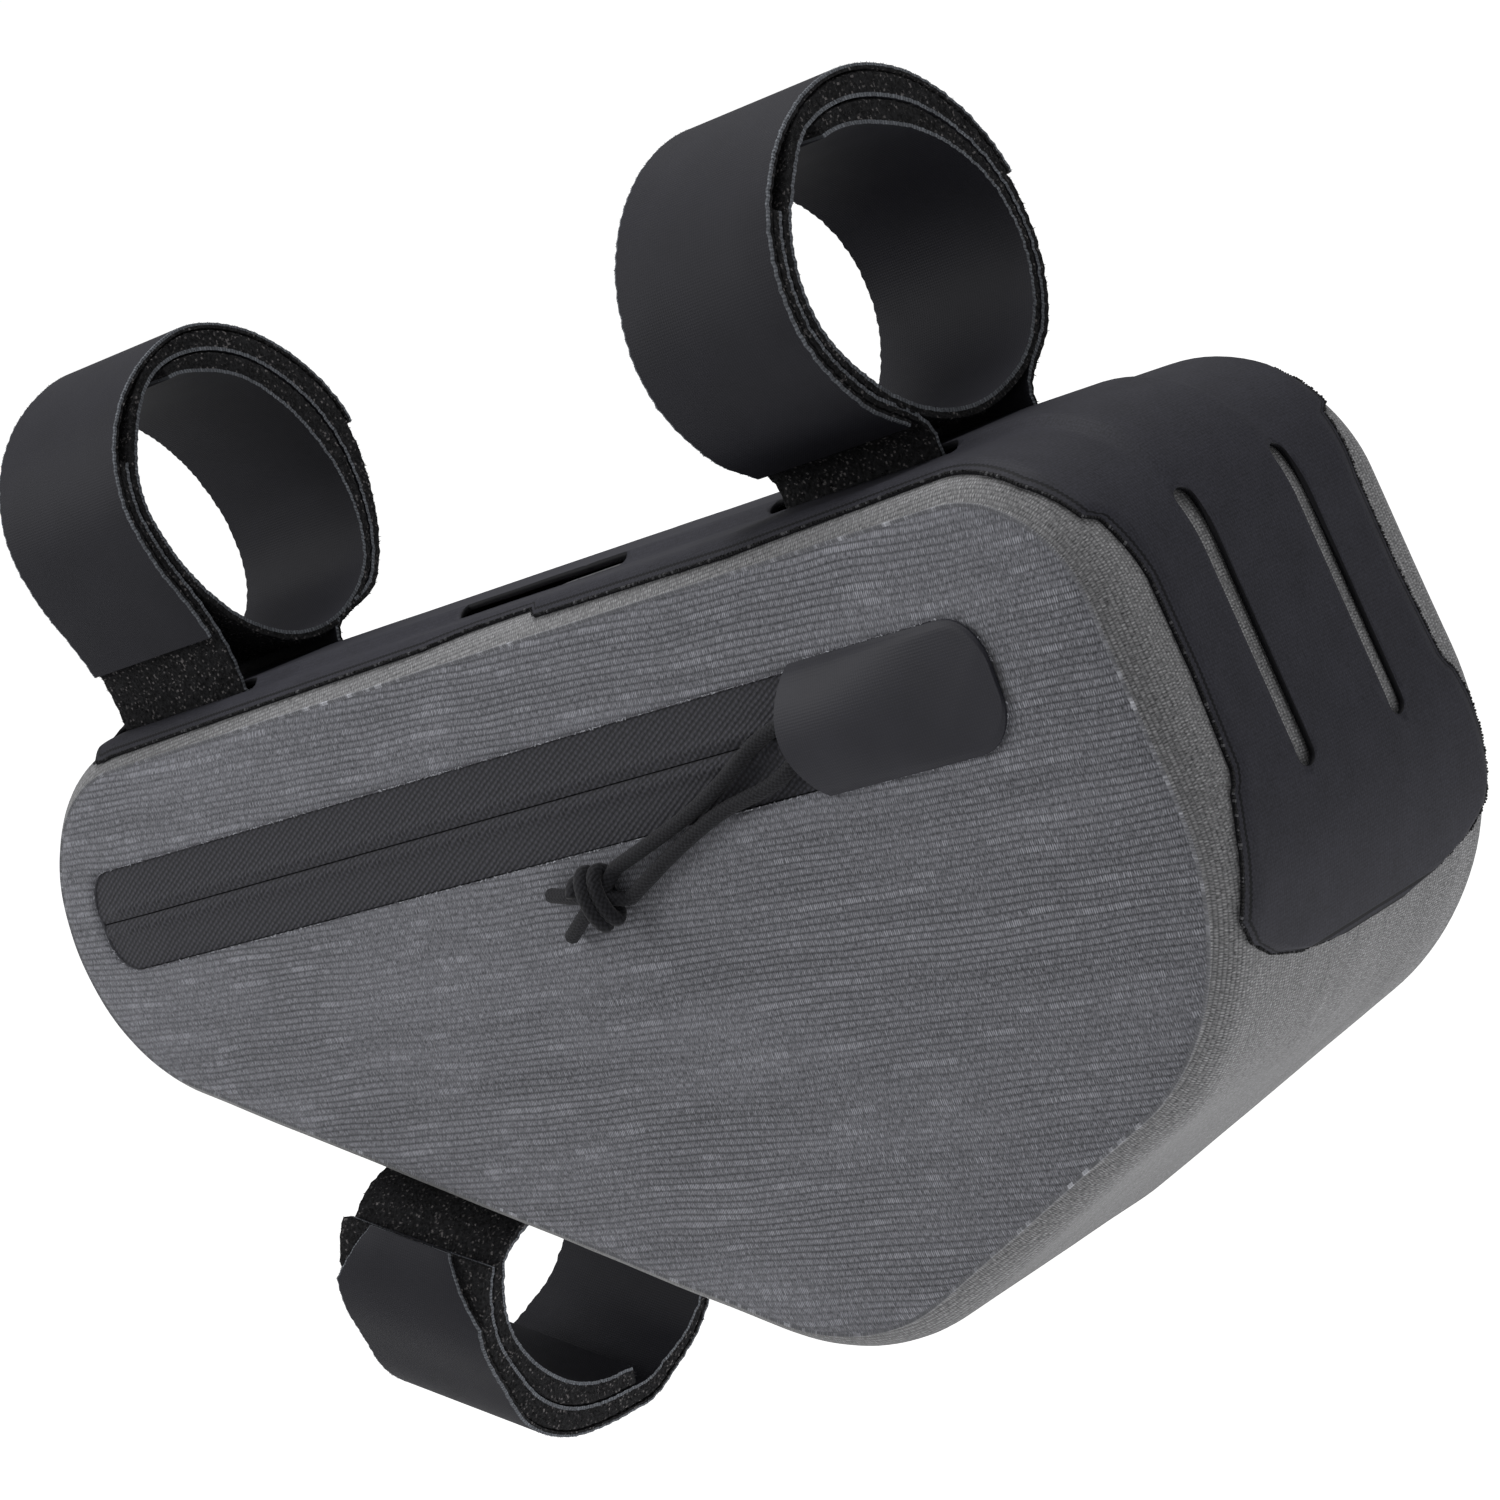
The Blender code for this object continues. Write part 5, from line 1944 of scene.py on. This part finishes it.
    def dress(self, item: Object, finishes: Sequence[Material], amount: float) -> None:
        """Put the nap's loops and the cut edge's fuzz on a piece.

        Args:
            item: The piece.
            finishes: Smooth face, cut edge and nap.
            amount: Share of the usual number of loops.
        """
        name = self.winding.name
        loops = Thread(f"{name} loops", (0.018, 0.018, 0.020),
                       roughness=0.9, pale=(0.045, 0.043, 0.042), pale_share=0.12)
        Nap(f"{item.name}_loops", loops, 0.85e6 * amount, 0.75 * MM, 0.11 * MM, 1.1).put_on(item, finishes[2])
        fuzz = Thread(f"{name} fuzz", (0.035, 0.037, 0.042), roughness=0.8, pale=(0.19, 0.205, 0.23),
                      pale_share=0.22)
        Nap(f"{item.name}_fuzz", fuzz, 4.0e6, 0.32 * MM, 0.07 * MM, 0.9, seed=7).put_on(item, finishes[1])

    def build(self) -> None:
        """Make the strap and its tab."""
        finishes = self.finishes()
        name = self.winding.name
        strap = self.ribbon(f"{name}_nap_strap", self.strap_pairs(), self.backing, True, finishes)
        self.dress(strap, finishes, 1.0)
        finish_piece(strap, Slot.PILE, f"{name}_strap")
        tab = self.ribbon(f"{name}_smooth_tab", self.tab_pairs(), 0.6 * MM, False, finishes)
        self.dress(tab, finishes, 0.3)
        finish_piece(tab, Slot.HOOKS, f"{name}_tab")


@dataclass
class UndersideStrap(LoopStrap):
    """The strap below the bag, which runs along the sloping underside."""

    tip_run: float = 14.0 * MM

    def climb_share(self, angle: float) -> float:
        """How far the second turn has climbed over the first at an angle."""
        return smooth_step((angle - self.winding.climb) / (self.winding.climbed - self.winding.climb))

    def strap_pairs(self) -> list[Pair]:
        """Under its own second turn, up to the bag, along it and round again."""
        wound = self.winding
        first = self.turns(wound.start, wound.tail_end, lambda a: 0.0)
        second = self.turns(360.0 + wound.join, wound.leave, self.climb_share)
        reach = FORM.half_width(0.0) - 2.0 * FORM.bolster
        level = -(self.clearance + self.thickness / 2)
        near, far = Vector((-reach, level)), Vector((reach, level))
        right = Vector((1.0, 0.0))
        rise = self.bridge(self.end_of(first, -1), (near, right), 0.33)
        fall = self.bridge((far, right), self.end_of(second, 0), 0.33)
        pairs = first + self.layer(rise, self.thickness, self.thickness)[1:]
        return pairs + self.layer(fall, self.thickness, self.thickness)[:-1] + second

    def tab_pairs(self) -> list[Pair]:
        """The tongue over the second turn."""
        return self.turns(self.winding.tab, self.winding.tab_end,
                          lambda a: 1.0 + self.climb_share(a + 360.0), self.tab_thickness)


@dataclass(frozen=True)
class CordPoint:
    """A place on the near side, as distances along the bag and up."""

    x: float
    z: float


def route(*places: tuple[float, float]) -> tuple[CordPoint, ...]:
    """Points of a cord, from distances along the bag and up in millimetres."""
    return tuple(CordPoint(x * MM, z * MM) for x, z in places)


@dataclass
class CordPull:
    """The doubled braided cord through the slider, with an overhand knot on its end."""

    diameter: float = 3.0 * MM
    clearance: float = 0.3 * MM
    upper: tuple[CordPoint, ...] = route(
        (87.2, -37.0), (84.0, -36.6),
        (80.0, -36.7), (74.0, -38.4),
        (67.0, -41.6), (60.0, -44.6),
        (52.0, -47.4), (44.0, -49.6),
        (36.0, -51.6), (28.6, -53.4),
    )
    lower: tuple[CordPoint, ...] = route(
        (87.2, -41.4), (84.4, -42.2),
        (80.0, -44.6), (74.0, -46.4),
        (67.0, -47.4), (60.0, -48.6),
        (52.0, -51.0), (44.0, -53.8),
        (36.0, -57.0), (29.6, -59.6),
    )
    knot: CordPoint = CordPoint(21.0 * MM, -57.6 * MM)
    tails: tuple[CordPoint, ...] = route((9.0, -55.4), (10.4, -64.0))
    knot_height: float = 8.4 * MM
    knot_reach: float = 5.3 * MM
    knot_shift: float = 3.2 * MM
    knot_turns: float = 2.3
    knot_pitch: float = 3.1 * MM
    carriers: int = 8
    sides: int = 32
    step: float = 0.2 * MM
    relief: float = 0.22 * MM

    def on_side(self, place: CordPoint, height: float) -> Vector:
        """Point over the near side panel."""
        return Vector((place.x, FORM.side_y(place.x, place.z, height), place.z))

    def smooth(self, points: Sequence[Vector], steps: int) -> list[Vector]:
        """Points of a smooth curve through a few chosen points."""
        ends = [points[0] * 2 - points[1], *points, points[-1] * 2 - points[-2]]
        curve = []
        for a, b, c, d in zip(ends, ends[1:], ends[2:], ends[3:]):
            for k in range(steps):
                t = k / steps
                curve.append(0.5 * (2 * b + (c - a) * t + (2 * a - 5 * b + 4 * c - d) * t ** 2
                                    + (3 * b - a - 3 * c + d) * t ** 3))
        curve.append(points[-1].copy())
        return curve

    def even(self, path: Sequence[Vector]) -> list[Vector]:
        """The same path with even steps.

        Args:
            path: Points of the path.

        Returns:
            Points that are one step apart.
        """
        runs = [0.0]
        for a, b in zip(path, path[1:]):
            runs.append(runs[-1] + (b - a).length)
        count = max(2, round(runs[-1] / self.step))
        made, k = [], 0
        for number in range(count + 1):
            run = runs[-1] * number / count
            while k < len(path) - 2 and runs[k + 1] < run:
                k += 1
            made.append(path[k].lerp(path[k + 1], (run - runs[k]) / max(runs[k + 1] - runs[k], 1e-9)))
        return made

    def weave(self, run: float, turn: float) -> float:
        """Height of the braid from 0 to 1.

        Args:
            run: Distance along the cord.
            turn: Place round it, from 0 to 1.

        Returns:
            The height.
        """
        pitch = math.pi * self.diameter / self.carriers
        one = run / pitch + self.carriers * turn
        two = run / pitch - self.carriers * turn
        over = (math.floor(one) + math.floor(two)) % 2 == 0
        top, under = (one, two) if over else (two, one)
        ridge = 1.0 - (2.0 * (top % 1.0) - 1.0) ** 2
        dip = 0.35 * (2.0 * (under % 1.0) - 1.0) ** 2
        return max(0.0, ridge - dip)

    def tube(self, shape: BMesh, path: Sequence[Vector], radius: float) -> None:
        """Add a braided tube along a path.

        Args:
            shape: The mesh in work.
            path: Its centre line.
            radius: Its outer radius.
        """
        shade = shape.verts.layers.float.get("shade") or shape.verts.layers.float.new("shade")
        path = self.even(path)
        end = len(path) - 1
        ways = [(path[min(k + 1, end)] - path[max(k - 1, 0)]).normalized() for k in range(len(path))]
        side = ways[0].orthogonal().normalized()
        loops = []
        for number, (place, way) in enumerate(zip(path, ways)):
            side = (side - way * side.dot(way)).normalized()
            up = way.cross(side)
            loop = []
            for k in range(self.sides):
                turn = k / self.sides
                level = self.weave(number * self.step, turn)
                lever = radius - self.relief * (1.0 - level)
                angle = 2.0 * math.pi * turn
                vert = shape.verts.new(place + (side * math.cos(angle) + up * math.sin(angle)) * lever)
                # the braid's height, which the cord's finish turns into painted shade between the strands
                vert[shade] = level
                loop.append(vert)
            loops.append(loop)
        for lower, upper in zip(loops, loops[1:]):
            for k in range(self.sides):
                n = (k + 1) % self.sides
                shape.faces.new((lower[k], lower[n], upper[n], upper[k]))
        for loop, place, way in ((loops[0], path[0], -1), (loops[-1], path[-1], 1)):
            tip = shape.verts.new(place + ways[0 if way < 0 else -1] * (way * 0.3 * MM))
            tip[shade] = 0.2
            for k in range(self.sides):
                shape.faces.new((loop[k], loop[(k + 1) % self.sides], tip))

    def piece(self, name: str, shape: BMesh, finish: Material) -> Object:
        """Turn the mesh in work into a piece.

        Args:
            name: Its name.
            shape: The mesh in work, which is freed.
            finish: Its material.

        Returns:
            The object.
        """
        bmesh.ops.recalc_face_normals(shape, faces=shape.faces[:])
        mesh = bpy.data.meshes.new(name)
        shape.to_mesh(mesh)
        shape.free()
        mesh.shade_smooth()
        return add_object(name, mesh, finish)

    def knot_paths(self) -> list[list[Vector]]:
        """Centre lines of the knot: its wraps, the cord inside it and its two tails."""
        middle = CordPoint(self.knot.x + self.knot_shift, self.knot.z)
        centre = self.on_side(middle, self.clearance + self.knot_height / 2)
        height = self.diameter / 2 + self.clearance
        ends = [self.on_side(points[-1], height) for points in (self.upper, self.lower)]
        axis = (centre - 0.5 * (ends[0] + ends[1])).normalized()
        out = Vector((0.0, -1.0, 0.0))
        out = (out - axis * out.dot(axis)).normalized()
        down = axis.cross(out)
        paths = []
        wrap = []
        depth = self.knot_height / 2 - self.diameter / 2
        for k in range(121):
            share = k / 120
            turn = 2.0 * math.pi * self.knot_turns * (share - 0.5)
            swell = 1.0 - 0.22 * abs(2.0 * share - 1.0) ** 2
            lean = 0.9 * MM * math.sin(turn)
            wrap.append(centre + axis * (self.knot_pitch * self.knot_turns * (share - 0.5) * 0.8 + lean)
                        + down * (self.knot_reach * swell * math.cos(turn))
                        + out * (depth * swell * math.sin(turn)))
        paths.append(wrap)
        for end, tip in zip(ends, (self.tails[0], self.tails[1])):
            finish = self.on_side(tip, height)
            bend = centre.lerp(finish, 0.45) + out * 0.8 * MM
            paths.append(self.smooth([end, end.lerp(centre, 0.5), centre, bend, finish], 8))
        return paths

    def build(self) -> None:
        finish = Braid("cord braid", (0.014, 0.014, 0.017),
                       roughness=0.8, specular=0.2, sheen=0.1, relief=0.05 * MM).build()
        shape = bmesh.new()
        for path in self.knot_paths():
            self.tube(shape, path, self.diameter / 2)
        knot = finish_piece(self.piece("overhand_knot", shape, finish), Slot.BRAID, "zip_pull_knot")
        height = self.diameter / 2 + self.clearance
        for name, points, pieces in (("upper", self.upper, [knot]), ("lower", self.lower, [])):
            path = self.smooth([self.on_side(point, height) for point in points], 8)
            shape = bmesh.new()
            self.tube(shape, path, self.diameter / 2)
            strand = self.piece(f"cord_{name}", shape, finish)
            finish_piece(strand, Slot.BRAID, f"zip_pull_strand_{name}")


@dataclass(frozen=True)
class Lamp:
    """A square soft light: its name, where it stands, its side and its power in watts."""

    name: str
    place: Vector
    size: float
    power: float


@dataclass
class Studio:
    """Camera, floor and soft lights."""

    camera_place: Vector = Vector((654.6, -676.7, 35.3)) * MM
    camera_right: Vector = Vector((0.7094, 0.6099, -0.3533))
    camera_up: Vector = Vector((0.2067, 0.2991, 0.9315))
    lens: float = 116.26
    sensor: float = 36.0
    floor_z: float = -0.8
    floor_size: float = 40.0
    floor_glow: float = 0.2
    floor_shown: float = 0.9
    fill: float = 0.26
    shown: float = 1.05
    aim: Vector = Vector((0.0, 0.0, -0.06))
    lamps: tuple[Lamp, ...] = (
        Lamp("top light", Vector((0.1, 0.1, 1.3)), size=1.0, power=15.0),
        Lamp("low right light", Vector((0.55, 0.1, -0.7)), size=0.6, power=2.6),
        Lamp("front light", Vector((-0.65, -0.6, 0.45)), size=0.5, power=3.8),
    )

    def set_camera(self) -> None:
        """Place the camera where the photograph was taken from."""
        data = bpy.data.cameras.new("view")
        data.sensor_width = self.sensor
        data.lens = self.lens
        data.clip_start = 0.05
        camera = bpy.data.objects.new("view", data)
        bpy.context.scene.collection.objects.link(camera)
        right = self.camera_right.normalized()
        back = right.cross(self.camera_up).normalized()
        up = back.cross(right)
        turn = Matrix((right, up, back)).transposed().to_4x4()
        camera.matrix_world = Matrix.Translation(self.camera_place) @ turn
        bpy.context.scene.camera = camera

    def set_world(self) -> None:
        """White surroundings that light the bag evenly."""
        world = bpy.data.worlds.new("studio")
        world.use_nodes = True
        bpy.context.scene.world = world
        graph = Graph(world.node_tree)
        sky = world.node_tree.nodes["Background"]
        sky.inputs["Color"].default_value = (1.0, 1.0, 1.0, 1.0)
        seen = graph.node("ShaderNodeLightPath").outputs["Is Camera Ray"]
        graph.feed(sky.inputs["Strength"], graph.fit(seen, self.shown - self.fill, self.fill))

    def set_floor(self) -> None:
        """A wide pale floor well below the bag."""
        half = self.floor_size / 2
        around = ((-half, -half), (half, -half), (half, half), (-half, half))
        corners = [Vector((x, y, self.floor_z)) for x, y in around]
        mesh = bpy.data.meshes.new("floor")
        mesh.from_pydata(corners, [], [(0, 1, 2, 3)])
        finish = Finish("pale floor", (0.93, 0.93, 0.93), roughness=0.9, specular=0.1)
        material = finish.build()
        shader = material.node_tree.nodes["Principled BSDF"]
        shader.inputs["Emission Color"].default_value = (1.0, 1.0, 1.0, 1.0)
        graph = Graph(material.node_tree)
        seen = graph.node("ShaderNodeLightPath").outputs["Is Camera Ray"]
        glow = graph.fit(seen, self.floor_shown - self.floor_glow, self.floor_glow)
        graph.feed(shader.inputs["Emission Strength"], glow)
        add_object("floor", mesh, material)

    def add_light(self, lamp: Lamp) -> None:
        """Set up one light, which faces the bag.

        Args:
            lamp: What it is.
        """
        data = bpy.data.lights.new(lamp.name, "AREA")
        data.shape = "SQUARE"
        data.size = lamp.size
        data.energy = lamp.power
        light = bpy.data.objects.new(lamp.name, data)
        bpy.context.scene.collection.objects.link(light)
        turn = (self.aim - lamp.place).to_track_quat("-Z", "Y").to_matrix().to_4x4()
        light.matrix_world = Matrix.Translation(lamp.place) @ turn

    def build(self) -> None:
        """Set everything but the bag itself."""
        bpy.context.scene.view_settings.view_transform = "Standard"
        self.set_camera()
        self.set_world()
        self.set_floor()
        for lamp in self.lamps:
            self.add_light(lamp)


def straps() -> list[LoopStrap]:
    """The two straps above the bag and the one below it."""
    front = Winding("front_top", FRONT_ROWS, far=0.194, out=1.145, start=-19, climb=300, climbed=340,
                    leave=497, join=248, tail_end=296, tab_end=440)
    rear = Winding("rear_top", REAR_ROWS, far=-0.081, out=1.113, start=-28, climb=298, climbed=330,
                   leave=486, join=231, tail_end=294, tab_end=440)
    below = Winding("bottom", BOTTOM_ROWS, far=0.097, out=-0.613, start=166, climb=502, climbed=526,
                    leave=648, join=62, tail_end=286, tab=127, tab_end=289)
    along, up = Vector((1.0, 0.0, 0.0)), Vector((0.0, 0.0, 1.0))
    station = STRAP_SHARE * FORM.length
    _, normal = FORM.stretch_at("slope", 0.0)
    slope = FORM.edge_direction(3)
    place = FORM.corner_point(4).lerp(FORM.corner_point(3), UNDER_SHARE)
    return [
        LoopStrap(front, Vector((-station, 0.0, 0.0)), along, up),
        LoopStrap(rear, Vector((station, 0.0, 0.0)), along, up),
        UndersideStrap(below, Vector((place.x, 0.0, place.y)), Vector((-slope.x, 0.0, -slope.y)),
                       Vector((-normal.x, 0.0, -normal.y))),
    ]


def main() -> None:
    """Build every piece of the bag and report it."""
    logging.basicConfig(level=logging.INFO, format="%(name)s: %(message)s")
    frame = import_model()
    Studio().build()
    CordPull().build()
    cloth = BagBody().build()
    TopPanel().build()
    SideZip().build(frame, cloth)
    for strap in straps():
        strap.build()


if __name__ == "__main__":
    main()
